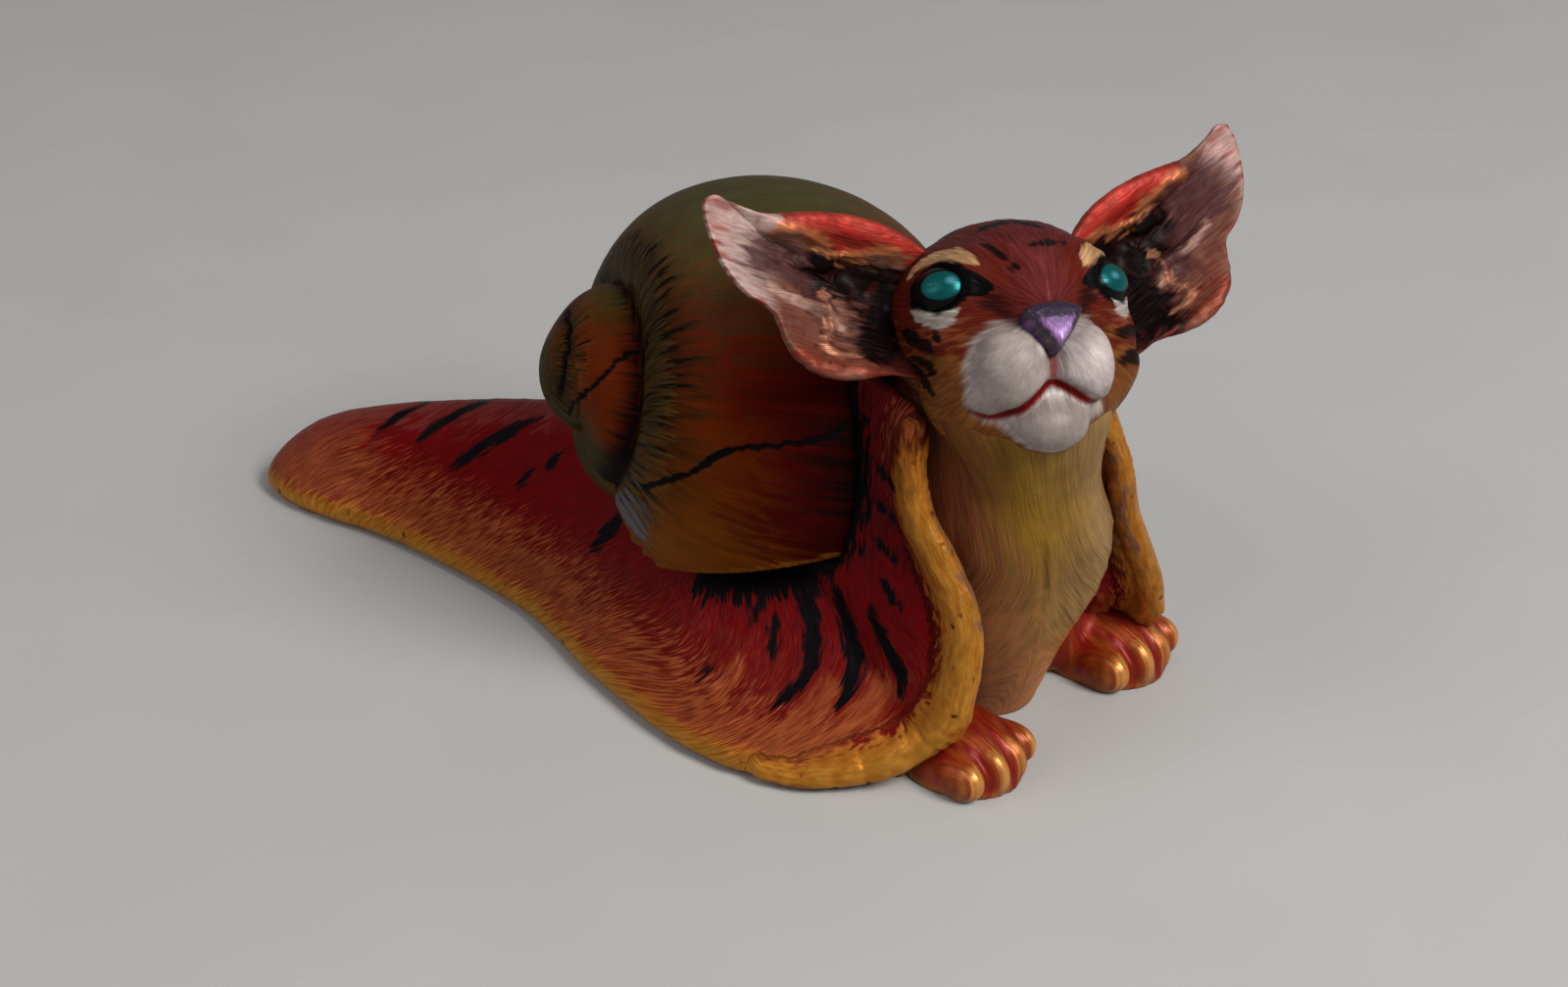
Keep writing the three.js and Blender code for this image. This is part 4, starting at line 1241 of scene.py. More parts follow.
    def _mark(self, clay: Clay, skirt: Array, rims: Array, beyond: Array) -> None:
        """Marks out the body's colours and stripes, with painted highlights on the gold and the crests and
        painted shade under the shell and in creases.
        """
        points = clay.points
        x, y, z = points.T
        aside = y - self.cape.middle(x)
        rolled = self.RIM_GOLD.at(z) - rims
        gold = np.maximum(1.6 - skirt, rolled)
        clay.mark("gold", gold)
        # Painted highlight: paler gold along the skirt's edge and the rims' crests.
        clay.mark("painted_gold_highlight", np.maximum(0.8 - skirt, rolled - 1.4))
        clay.mark("rim_wash", 0.5 - np.abs(rolled + 0.1) - 1.5 * smooth(13.0, 7.0, z))
        clay.mark("plum", np.minimum(np.minimum(-0.9 - beyond, 3.4 - rims), 6.0 - np.abs(z - 23.0)))
        clay.mark("strand", np.minimum(z - 27.0, 2.6 - rims))
        clay.mark("copper", 6.4 - skirt - 0.1 * np.maximum(x, 0.0))
        clay.mark("dusky", blend(4.5, 11.0, smooth(-30.0, -4.0, x)) - skirt)
        clay.mark("hood", z - 22.0)
        clay.mark("tail_end", -51.0 - x)
        clay.mark("ridge", 3.0 - np.abs(aside) + np.minimum(0.0, -14.0 - x))
        clay.mark("mauve", np.minimum(skirt - 9.0, (x + 16.0) * 0.3))
        flank = painted(self.FLANK, np.stack([x, z], axis=1))
        ridge = painted(self.RIDGE, np.stack([x, np.abs(aside)], axis=1))
        stripe = np.where(x > -8.0, np.where(np.abs(aside) > 5.0, flank, -5.0), ridge)
        clay.mark("stripe", np.minimum(stripe, 0.6 - gold))
        # Black paint and painted shade under the shell's lip and between shell and hood.
        gap = self.shell.clearance(points)
        clay.mark("under_shell_shade", blend(0.7, 2.4, smooth(17.0, 24.0, z)) - gap)
        # Darker in creases: a dark wash and painted shade.
        clay.mark("crease_wash_and_shade", clay.hollows(2) - 1.2)


BODY_PAINT = PaintedFinish(
    "brushed_cape_paint", "cape_paint", Colour(103, 1, 3),
    (
        Coat("mauve", Colour(84, 16, 22), feather=4.0, soft=3.0, streak=1.0, cover=0.7),
        Coat("hood", Colour(68, 6, 8), feather=2.0, soft=4.0, streak=0.3),
        Coat("dusky", Colour(98, 24, 16), feather=3.0, soft=3.0, streak=0.7, shine=0.15, fine=True),
        Coat(
            "copper", Colour(146, 74, 38), feather=2.4, soft=2.2, streak=0.75, shine=0.3, roughness=0.4,
            fine=True,
        ),
        # Copper paint on the flutes' crests, partly a painted highlight.
        Coat(
            "crest_highlight", Colour(142, 72, 38), feather=0.6, soft=0.8, streak=0.4, cover=0.7, shine=0.3,
            roughness=0.4,
        ),
        Coat("tail_end", Colour(126, 58, 36), feather=3.0, soft=6.0, streak=0.5, shine=0.25),
        Coat("ridge", Colour(118, 50, 44), feather=1.2, soft=1.2, streak=0.5, cover=0.75, shine=0.15),
        # Darker in creases: a dark wash and painted shade.
        Coat("crease_wash_and_shade", Colour(60, 3, 4), soft=0.6, cover=0.6),
        Coat(
            "strand", Colour(116, 60, 34), feather=1.2, soft=0.5, streak=1.0, cover=0.65, shine=0.2,
            fine=True,
        ),
        Coat("gold", Colour(156, 94, 30), feather=0.6, soft=0.5, shine=0.45, roughness=0.4, fine=True),
        # Painted highlight: paler gold along the skirt's edge and the rims' crests.
        Coat("painted_gold_highlight", Colour(182, 124, 46), feather=0.5, soft=0.9, streak=0.4, shine=0.5, roughness=0.36),
        Coat("rim_wash", Colour(70, 16, 8), feather=0.3, soft=0.4, cover=0.6),
        Coat(
            "plum", Colour(104, 70, 66), feather=1.0, soft=0.8, streak=0.6, cover=0.8, shine=0.3,
            roughness=0.36,
        ),
        # Black paint and painted shade under the shell's lip and between shell and hood.
        Coat("under_shell_shade", Colour(8, 5, 7), feather=1.1, soft=0.5),
        Coat("stripe", Colour(9, 6, 9), feather=0.3, soft=0.25, roughness=0.4),
    ),
    roughness=0.46, fineness=2.0, stretch=4.5, hair_tone=0.3, pits="gold", pit_spacing=2.1,
)


@dataclass
class Chest:
    """The furry chest and throat between the rims of the cape."""

    cape: Cape
    head_skin: BVHTree
    fillet: float = 6.0
    fillet_depth: float = 3.5
    swell: float = 0.5
    fullness: float = 2.4
    lock_depth: float = 0.16
    parting_depth: float = 0.3
    throat: Triple = (16.0, 17.0, 15.0)
    throat_at: Triple = (26.4, -1.6, 32.6)
    crop: Triple = (15.4, 16.4, 24.0)
    crop_at: Triple = (26.2, -1.4, 25.6)
    cell: float = 0.36

    def build(self) -> Piece:
        """Sculpts and paints the chest."""
        lumps = [node_copy("chest"), egg(self.throat, self.throat_at), egg(self.crop, self.crop_at)]
        clay = Clay(kneaded("chest_fur", joined(lumps), self.cell))
        clay.relax(220, smooth(12.0, 20.0, clay.points[:, 2]), hold=False)
        clay.relax(22)
        ahead, aside = self.cape.from_hood(clay.points)
        z = clay.points[:, 2].copy()
        fuller = smooth(5.0, 20.0, z) * (1.0 - 0.72 * smooth(20.0, 28.0, z))
        clay.push(self.swell + self.fullness * smooth(0.0, 5.0, aside) * fuller)
        parted = aside + 1.5
        fanned = np.sign(parted) * np.maximum(0.0, 22.0 - z) * 0.16 * np.abs(parted)**0.5
        across = parted * (0.75 + 0.035 * z) - fanned
        locks = two_grains(21, (across * 1.2 + 19.0, z * 0.16), (across * 2.6 + 40.0, z * 0.24))
        clay.push(smooth(0.2, 2.0, z) * self.lock_depth * locks)
        parting = spline([(-1.4, 24.0), (-1.3, 18.0)])
        from_parting = along_path(np.stack([aside, z], axis=1), parting)[0]
        clay.push(-self.parting_depth * bell(from_parting, 0.3))
        front = smooth(-7.5, -4.0, aside) * (1.0 - smooth(4.0, 7.5, aside)) * smooth(1.0, 6.0, ahead)
        clay.push(-1.8 * smooth(4.0, -1.0, ahead) * smooth(22.0, 30.0, z))
        close_on_head(clay, NECK_CLOSE * (1.0 - front))
        moved = clay.melt(self.head_skin, self.fillet, self.fillet_depth, front)
        clay.relax(6, smooth(0.0, 0.6, moved))
        clay.points[:, 2] = np.maximum(clay.points[:, 2], 0.0)
        clay.mark("cream", aside * 0.7 - 1.0)
        clay.mark("sunny", 3.6 - np.abs(aside + 2.0) * 0.8 - np.abs(z - 28.0) * 0.35)
        clay.mark("mauve", -aside - 3.6 + (20.0 - z) * 0.25)
        clay.mark("low", 9.0 - z)
        seam = 0.35 - np.abs(aside + 1.35) - np.abs(z - 21.0) * 0.12
        clay.mark("combed", np.maximum(2.5 - np.abs(aside + 5.0), seam))
        clay.mark("edge", np.maximum(np.abs(aside) - 7.2, -aside - 5.2 + 0.2 * (z - 26.0)))
        clay.mark("nape", 4.0 - ahead)
        clay.comb(across, z)
        return dress(clay, CHEST_PAINT, "chest")


CHEST_PAINT = PaintedFinish(
    "brushed_chest_paint", "chest_paint", Colour(126, 92, 42),
    (
        Coat("cream", Colour(142, 112, 72), feather=1.5, soft=3.5, shine=0.12),
        Coat("sunny", Colour(128, 96, 30), feather=1.5, soft=4.0, shine=0.2),
        Coat("low", Colour(166, 106, 54), feather=2.0, soft=4.0, shine=0.15),
        Coat("mauve", Colour(152, 98, 62), feather=2.0, soft=3.0, streak=0.3, shine=0.15),
        Coat("edge", Colour(100, 48, 32), feather=0.7, soft=2.2, streak=0.2),
        Coat("combed", Colour(72, 40, 18), feather=0.6, soft=0.5, streak=1.0, cover=0.55, fine=True),
        Coat("nape", Colour(70, 8, 10), feather=1.0, soft=1.5),
    ),
    shine=0.15, roughness=0.46, fineness=2.2, stretch=11.0, hair_tone=0.32,
)


# The head

FACE_RADIUS = 10.5


def cast(points: Array | Path) -> Array:
    """Head points thrown out onto one ball, so that face paint goes by bearing and not by depth."""
    rows = np.asarray(points, float)
    return FACE_RADIUS * rows / np.maximum(np.linalg.norm(rows, axis=1, keepdims=True), 1e-6)


def face_stroke(points: Path, half_width: float) -> Stroke:
    """A stroke on the face."""
    return Stroke([tuple(spot) for spot in cast(points)], half_width)


def face_strokes(points: Path, half_width: float) -> list[Stroke]:
    """The same stroke on both sides of the face."""
    mirrored = [(x, -y, z) for x, y, z in points]
    return [face_stroke(side, half_width) for side in (points, mirrored)]


MUZZLE_AXIS = unit(np.array((11.0, 0.0, -6.0)))


def face_map(points: Array | Path) -> Array:
    """Lays the front of the head out flat round the muzzle: to the left and up, in millimetres."""
    rows = cast(points) / FACE_RADIUS
    left = np.array((0.0, 1.0, 0.0))
    above = np.cross(MUZZLE_AXIS, left)
    turn = np.arccos(np.clip(rows @ MUZZLE_AXIS, -1.0, 1.0))
    out = FACE_RADIUS * turn / np.maximum(np.sin(turn), 1e-3)
    return np.stack([rows @ left * out, rows @ above * out], axis=1)


MOUTH_LINE = [
    (6.6, -6.7, -8.6), (7.1, -6.2, -9.2), (7.6, -5.2, -9.6), (8.6, -4.2, -9.6), (9.7, -3.1, -9.2),
    (10.7, -2.1, -8.6), (11.3, -1.0, -8.0), (11.4, 0.0, -7.8), (11.3, 1.0, -8.0), (10.8, 2.1, -8.4),
    (9.9, 3.2, -8.7), (9.1, 4.2, -8.8), (8.5, 5.0, -8.7),
]
MOUTH = [
    face_stroke(MOUTH_LINE, 0.34),
    *face_strokes([(12.6, -0.22, -4.4), (12.0, -0.2, -7.8)], 0.2),
]
WHITE_HALF = [
    (11.5, -3.0, -2.0), (10.4, -4.4, -1.5), (9.5, -5.4, -1.9), (8.0, -6.4, -3.2), (7.6, -6.9, -5.2),
    (7.3, -7.0, -7.3), (6.9, -6.3, -9.0), (7.6, -4.6, -10.4), (8.2, -2.7, -12.2),
]
FAR_TUCK = (0.8, 0.8, 0.76, 0.68, 0.6, 0.64, 0.78, 0.8, 0.8)
WHITE_FAR = [(x, -y * tuck, z) for (x, y, z), tuck in zip(WHITE_HALF, FAR_TUCK)]
WHITE_EDGE = [*WHITE_HALF, (8.4, 0.0, -13.4), *WHITE_FAR[::-1], (12.4, 0.0, -3.4)]
WHITE = Patch([tuple(spot) for spot in face_map(WHITE_EDGE)])


@dataclass
class CatHead:
    """The lifted head: skull and cheeks, eyes, whisker pads, chin and nose."""

    eye: Triple = (3.6, 5.2, 4.2)
    eye_at: Triple = (6.46, 8.0, 2.42)
    eye_sink: float = 0.6
    eye_tilt: float = -10.0
    eye_turns: Pair = (38.0, 30.0)
    left_eye_shift: Triple = (0.5, -0.6, -0.3)
    iris: Pair = (1.75, 1.25)
    # Where the painted highlight sits on each eye's iris.
    eye_highlights: tuple[Pair, Pair] = ((1.45, 0.3), (-0.4, 0.1))
    iris_shifts: Pair = (0.5, 0.0)
    pad: Triple = (9.2, 6.8, 7.8)
    pad_at: Triple = (8.4, 2.95, -5.3)
    pad_turn: float = 12.0
    chin: Triple = (8.2, 7.4, 5.4)
    chin_at: Triple = (7.3, 0.0, -9.9)
    chin_tilt: float = 12.0
    cap_depth: float = 0.5
    cap_lifts: Pair = (-0.3, 0.04)
    cap_edge: float = 0.8
    behind: float = 9.0
    nose_at: Triple = (10.61, 0.0, -2.74)
    nose_half_width: float = 2.7
    nose_top: float = 1.89
    nose_low: float = -2.31
    nose_cell: float = 0.13
    lid_height: float = 0.28
    socket_depth: float = 0.3
    tear_groove: Pair = (0.9, 0.35)
    mouth_depth: float = 0.4
    part_depth: float = 0.35
    lip_width: float = 0.5
    lock_depth: float = 0.13
    cell: float = 0.26
    skin: BVHTree | None = None

    # Where the clay is drawn out: each place, its reach and the pull.
    PULLS = [
        ((10.5, 0.0, 0.6), 4.6, (1.3, 0.0, -0.2)),
        ((10.0, 0.0, 4.0), 4.0, (0.5, 0.0, 0.2)),
        ((3.0, -9.0, -4.6), 6.0, (0.0, 0.2, 0.2)),
        ((1.5, -10.2, -0.6), 6.0, (0.2, 0.5, 0.0)),
        ((9.0, 6.2, -5.0), 4.2, (0.0, -1.5, 0.0)),
        ((4.4, 8.6, -4.4), 5.6, (0.5, 1.2, 0.0)),
    ]
    STRIPES = [
        face_stroke([(1.6, -10.4, -0.4), (3.2, -10.0, -1.4), (5.2, -8.7, -2.9)], 0.8),
        face_stroke([(1.8, -9.9, -2.9), (3.4, -9.6, -3.8), (5.2, -9.1, -4.9)], 0.62),
        face_stroke([(0.8, -11.2, -3.2), (2.4, -10.4, -4.9), (4.2, -9.2, -6.7)], 0.7),
        face_stroke([(6.0, -8.8, -1.0), (6.0, -8.5, -2.0)], 0.36),
        face_stroke([(7.3, 7.4, -2.6), (5.5, 8.7, -2.2), (3.2, 9.9, -1.8)], 0.62),
        face_stroke([(7.4, 7.5, -5.0), (5.7, 8.7, -4.4), (3.4, 9.9, -3.7)], 0.62),
        face_stroke([(5.2, -3.4, 7.4), (4.6, -1.2, 8.3), (5.0, 0.6, 8.2), (6.0, 2.2, 7.4)], 0.7),
        face_stroke([(7.5, -4.0, 5.9), (8.6, -3.2, 5.0), (9.3, -2.6, 4.2)], 0.5),
        face_stroke([(8.9, -0.2, 5.3), (8.6, 1.4, 5.6), (7.9, 3.2, 5.7)], 0.48),
        face_stroke([(9.9, -2.6, 3.5), (10.4, -1.8, 3.2)], 0.3),
        *face_strokes([(0.6, -5.6, 8.2), (2.4, -4.6, 8.4)], 0.6),
    ]
    SURROUND = face_strokes([(5.4, -10.0, 2.0), (7.4, -8.4, 2.6), (8.6, -6.4, 2.4), (9.7, -4.5, 1.8)], 1.2)
    TEAR = face_strokes([(9.1, -5.4, 1.2), (10.6, -4.2, -0.3), (11.2, -3.6, -1.4)], 0.8)
    BROW = [
        face_stroke(
            [(2.3, -9.3, 4.3), (2.8, -8.4, 5.3), (5.1, -7.0, 5.6), (7.4, -6.1, 4.9), (8.6, -5.2, 4.0)], 0.8
        ),
        face_stroke([(8.9, 4.7, 3.2), (8.3, 5.2, 4.3), (7.3, 6.2, 4.9), (6.2, 7.5, 5.0)], 0.8),
    ]
    LOWER_LID = face_strokes(
        [(3.7, -9.9, 1.0), (5.1, -9.4, 0.2), (6.4, -8.6, -0.5), (7.2, -7.8, -0.4), (8.1, -6.9, 0.3)], 0.55
    )
    GLINTS = [
        *face_strokes([(12.0, -0.95, -4.6), (11.9, -1.5, -3.9)], 0.32),
        *face_strokes([(11.6, -0.9, -8.9), (11.4, 0.0, -8.9)], 0.3),
    ]
    CHEEKBONE = face_strokes([(2.6, -10.2, -1.8), (5.6, -9.0, -1.6), (7.8, -7.4, -1.4)], 0.8)

    def build(self) -> list[Piece]:
        """Builds the head and everything on it but the ears."""
        clay = self._sculpt()
        muzzle = self._muzzle(clay.points)
        caps = [(node, self._cap(clay, f"{node}_skin", inside)) for node, inside in muzzle]
        clay.points = HEAD.outward(clay.points)
        self.skin = clay.skin()
        pieces = [self._build_nose(), dress(clay, HEAD_PAINT, "head")]
        for node, cap in caps:
            cap.points = HEAD.outward(cap.points)
            pieces.append(dress(cap, MUZZLE_PAINT, node))
        return pieces + [self._build_eye(side, name) for side, name in ((-1, "right"), (1, "left"))]

    def _eye_place(self, side: int) -> Place:
        """An eye's own frame within the head, looking out along X."""
        axes = turned("Z", side * self.eye_turns[side > 0]) @ turned("Y", self.eye_tilt)
        at = np.array(self.eye_at) * (1, side, 1) - axes[:, 0] * self.eye_sink
        return Place(at + (np.array(self.left_eye_shift) if side > 0 else 0.0), axes)

    def _eye_share(self, points: Array, side: int) -> Array:
        """How far out from the middle of an eye each point lies: 1 on the eye's outline."""
        local = self._eye_place(side).inward(points)
        share = np.hypot(local[:, 1] / (self.eye[1] / 2), local[:, 2] / (self.eye[2] / 2))
        return np.where(local[:, 0] > -3.5, share, 9.0)

    def _lumps(self) -> list[Lump]:
        """The eggs that the head is kneaded from."""
        lumps = [egg(SKULL, (0, 0, 0)), egg(JAW, JAW_AT)]
        for side in (-1, 1):
            at = np.array(self.pad_at) * (1, side, 1)
            lumps.append(egg(self.pad, tuple(at), turn=turned("Z", side * self.pad_turn)))
        return [*lumps, egg(self.chin, self.chin_at, turn=turned("Y", self.chin_tilt))]

    def _sculpt(self) -> Clay:
        """Sculpts skull, jaw and muzzle as one skin in the head's frame and marks it out."""
        clay = Clay(kneaded("head_skin", joined(self._lumps()), self.cell))
        blank = 1.0 - smooth(6.5, 10.5, np.linalg.norm(clay.points - np.array((9.0, 0.0, -5.0)), axis=1))
        clay.relax(18, blank, hold=False)
        clay.relax(6)
        for at, reach, by in self.PULLS:
            clay.pull(at, reach, by)
        for side in (-1, 1):
            clay.pull((7.9, side * 6.45, 5.1), 4.1, (0.9, 0.0, 0.45))
            clay.swell(np.array((0.6, side * 8.6, 3.4)), 5.0, 0.2 if side < 0 else 0.7)
            share = self._eye_share(clay.points, side)
            socket = self.socket_depth * (1 - smooth(0.6, 0.95, share))
            clay.push(self.lid_height * bell(share - 1.12, 0.25) - socket)
            tear = [(9.4, side * 5.2, 1.3), (10.7, side * 4.0, -0.4), (11.3, side * 3.4, -1.6)]
            clay.score(spline(tear), *self.tear_groove)
        clay.relax(3)
        mouth = along_path(cast(clay.points), spline(cast(MOUTH_LINE)))[0]
        part = along_path(cast(clay.points), cast([(12.4, 0.0, -4.0), (11.6, 0.0, -7.8)]))[0]
        parted = self.part_depth * bell(part, self.lip_width)
        clay.push(-self.mouth_depth * bell(mouth, self.lip_width) - parted)
        across, along = self._flow(clay.points)
        locks = two_grains(31, (across * 1.1, along * 0.16), (across * 2.2, along * 0.22))
        furry = 1.0 - 0.6 * smooth(-1.0, 1.0, WHITE.inside(face_map(clay.points)))
        clay.push(self.lock_depth * furry * locks)
        self._mark(clay)
        clay.comb(across, along)
        return clay

    @staticmethod
    def _muzzle_map(points: Array) -> tuple[Array, Array, Array]:
        """How far each point lies to the left, above the lip and inside the white of the muzzle."""
        across, up = face_map(points).T
        lip = face_map(MOUTH_LINE)
        white = WHITE.inside(face_map(points))
        return across, up - np.interp(across, lip[:, 0], lip[:, 1]), white

    def _muzzle(self, points: Array) -> list[tuple[str, Array]]:
        """The pieces of the muzzle, each with how far inside its edge each point of the head lies."""
        across, above, white = self._muzzle_map(points)
        inside = white - np.where(points[:, 0] > 0.0, 0.0, self.behind)
        return [
            ("whisker_pad_right", np.min([inside, -across, above], axis=0)),
            ("whisker_pad_left", np.min([inside, across, above], axis=0)),
            ("chin", np.minimum(inside, -above)),
        ]

    def _cap(self, clay: Clay, name: str, inside: Array) -> Clay:
        """Lifts a cap of the head's skin off as a piece of its own, whose edge dips back into the head."""
        clay.put()
        shape = bmesh.new()
        shape.from_mesh(clay.piece.data)
        shape.normal_update()
        lifts = blend(*self.cap_lifts, smooth(0.0, self.cap_edge, inside))
        for vert, lift in zip(shape.verts, lifts):
            vert.co += vert.normal * float(lift)
        spare = [vert for vert, share in zip(shape.verts, inside) if share <= 0.0]
        bmesh.ops.delete(shape, geom=spare, context="VERTS")
        bmesh.ops.delete(shape, geom=[vert for vert in shape.verts if not vert.link_faces], context="VERTS")
        grown = bmesh.ops.extrude_face_region(shape, geom=shape.faces[:], use_keep_orig=True)["geom"]
        for vert in [part for part in grown if isinstance(part, bmesh.types.BMVert)]:
            vert.co -= vert.normal * self.cap_depth
        bmesh.ops.recalc_face_normals(shape, faces=shape.faces)
        return Clay(new_piece(name, shape))

    def _flow(self, points: Array) -> tuple[Array, Array]:
        """Fur that radiates back from the nose."""
        rows = cast(points) / FACE_RADIUS
        nose = unit(np.array((11.0, 0.0, -1.0)))
        aside = np.array((0.0, 1.0, 0.0))
        above = np.cross(nose, aside)
        along = np.arccos(np.clip(rows @ nose, -1.0, 1.0))
        around = np.arctan2(rows @ aside, rows @ above)
        return np.abs(around) * 7.0, along * FACE_RADIUS

    def _mark(self, clay: Clay) -> None:
        """Marks out the face paint, with painted light on the far whisker pad and painted shade in creases.
        """
        points = clay.points
        ball_points = cast(points)
        x, y, z = points.T
        clay.mark("jaw", -2.6 - z + 0.25 * (np.abs(y) - 8.0))
        clay.mark("throat", 35.0 - HEAD.outward(points)[:, 2])
        clay.mark("crown", z - 5.0)
        clay.mark("bridge", 2.2 - np.abs(y) + np.minimum(0.0, x - 8.5) + np.minimum(0.0, 5.0 - z))
        strokes = {
            "cheekbone": self.CHEEKBONE, "stripe": self.STRIPES, "tear": self.TEAR, "brow": self.BROW,
            "lower_lid": self.LOWER_LID, "glint": self.GLINTS, "mouth": MOUTH,
        }
        for name, lines in strokes.items():
            clay.mark(name, painted(lines, ball_points))
        surround = np.max([1.22 - self._eye_share(points, side) for side in (-1, 1)], axis=0) * 2.0
        clay.mark("surround", np.maximum(surround, painted(self.SURROUND, ball_points)))
        _, above, white = self._muzzle_map(points)
        clay.mark("muzzle", white - np.where(x > 0.0, 0.0, self.behind))
        mottle = two_grains(43, (y * 0.9 + 19, z * 0.9 + 19), (y * 2.1 + 40, z * 2.1 + 40), 0.6)
        clay.mark("mottle", np.minimum(mottle, white - 0.4))
        clay.mark("chin_shade", -above - 0.3)
        # Painted light: the far whisker pad paler, as if lit from that side.
        clay.mark("far_pad_painted_light", np.minimum(white, np.minimum(y, above)) - 1.0)
        # Darker in creases: a dark wash and painted shade.
        clay.mark("crease_wash_and_shade", clay.hollows(2) - 1.3)

    def _build_eye(self, side: int, name: str) -> Piece:
        """An eye: a dark bead with a metallic iris and a painted highlight on it."""
        clay = Clay(new_piece(f"eye_{name}_bead", egg(self.eye, (0, 0, 0), 64)))
        x, y, z = clay.points.T
        share = np.hypot((y - self.iris_shifts[side > 0]) / self.iris[0], z / self.iris[1])
        clay.mark("iris", np.where(x > 0, (1.0 - share) * self.iris[1], -2.0))
        # A painted highlight: the lamp's reflection drawn onto the iris.
        highlight_y, highlight_z = self.eye_highlights[side > 0]
        clay.mark("painted_highlight", np.where(x > 0, 0.3 - np.hypot(y - highlight_y, (z - highlight_z) * 1.3), -2.0))
        clay.comb(np.arctan2(z, y) * 2.0, share)
        clay.points = HEAD.outward(self._eye_place(side).outward(clay.points))
        return dress(clay, EYE_PAINT, f"eye_{name}")

    def _build_nose(self) -> Piece:
        """The nose, a rounded triangle with a dark outline, a dark upper edge and a painted highlight in
        its middle.
        """
        clay = Clay(kneaded("nose_skin", node_copy("nose"), self.nose_cell))
        clay.relax(10)
        local = HEAD.inward(clay.points) - np.array(self.nose_at)
        _, y, z = local.T
        slope = unit(np.array((self.nose_top - self.nose_low, -self.nose_half_width)))
        flank = -((np.abs(y) - self.nose_half_width) * slope[0] + (z - self.nose_top) * slope[1])
        clay.mark("outline", 0.26 - np.abs(flank - 0.1))
        clay.mark("band", z - 0.95)
        # A painted highlight in the nose's middle.
        clay.mark("painted_highlight", 0.9 - np.hypot(y - 0.3, z + 0.5))
        clay.comb(y, z)
        return dress(clay, NOSE_PAINT, "nose")


HEAD_PAINT = PaintedFinish(
    "brushed_head_paint", "head_paint", Colour(86, 26, 16),
    (
        Coat("crown", Colour(80, 28, 27), feather=2.0, soft=2.5),
        Coat("jaw", Colour(112, 68, 32), feather=2.6, soft=1.8, streak=0.35, shine=0.2),
        Coat("throat", Colour(124, 84, 38), feather=1.6, soft=2.4, shine=0.2),
        Coat("bridge", Colour(96, 38, 38), feather=1.2, soft=1.0, streak=0.4),
        # Darker in creases: a dark wash and painted shade.
        Coat("crease_wash_and_shade", Colour(44, 10, 8), soft=0.6, cover=0.5),
        Coat("cheekbone", Colour(122, 58, 38), feather=0.8, soft=0.5, streak=0.5, shine=0.2),
        Coat("tear", Colour(30, 10, 10), feather=0.5, soft=0.6, cover=0.85),
        Coat("stripe", Colour(14, 10, 10), feather=0.3, soft=0.26, cover=0.95),
        Coat("muzzle", Colour(156, 144, 139), feather=0.2, soft=0.6, shine=0.03),
        Coat("chin_shade", Colour(136, 124, 120), feather=0.2, soft=0.8, cover=0.0),
        Coat("mottle", Colour(126, 113, 110), feather=0.2, soft=0.35, cover=0.45),
        # Painted light: the far whisker pad paler, as if lit from that side.
        Coat("far_pad_painted_light", Colour(190, 177, 176), feather=0.8, soft=1.6, streak=0.3, cover=0.7),
        Coat("glint", Colour(205, 196, 190), feather=0.1, soft=0.35, cover=0.8),
        Coat("surround", Colour(6, 5, 5), feather=0.1, soft=0.15),
        Coat("brow", Colour(176, 138, 98), feather=0.15, soft=0.2, streak=0.3),
        Coat("lower_lid", Colour(166, 158, 150), feather=0.15, soft=0.2, streak=0.3, shine=0.05),
        Coat("mouth", Colour(96, 12, 14), soft=0.2),
    ),
    shine=0.12, roughness=0.44, fineness=2.0, stretch=6.0, relief=0.08, hair_tone=0.42,
)
EYE_PAINT = PaintedFinish(
    "brushed_eye_gloss", "eye_gloss", Colour(5, 5, 5),
    (
        Coat("iris", Colour(13, 84, 84), soft=0.1, shine=0.5, roughness=0.28),
        # Painted highlight on the iris.
        Coat("painted_highlight", Colour(96, 178, 196), soft=0.45, shine=0.4, cover=0.8, roughness=0.28),
    ),
    shine=0.0, roughness=0.3, fineness=2.0, relief=0.01, hair_tone=0.15, varnish=0.08, gloss=0.05,
)
MUZZLE_PAINT = replace(
    HEAD_PAINT, name="brushed_muzzle_paint", slot="muzzle_paint", hair_tone=0.14, relief=0.03, stretch=2.0,
    coats=tuple(
        replace(coat, cover=0.8) if coat.mask == "chin_shade" else coat for coat in HEAD_PAINT.coats
    ),
)
NOSE_PAINT = PaintedFinish(
    "brushed_nose_paint", "nose_paint", Colour(112, 74, 128),
    (
        # Painted highlight in the nose's middle.
        Coat("painted_highlight", Colour(158, 120, 176), soft=0.9, shine=0.2),
        Coat("outline", Colour(40, 20, 40), feather=0.15, soft=0.22),
        Coat("band", Colour(34, 20, 44), feather=0.15, soft=0.25, roughness=0.3),
    ),
    shine=0.2, roughness=0.36, stretch=1.5, relief=0.05, hair_tone=0.25, varnish=0.4, gloss=0.4,
)


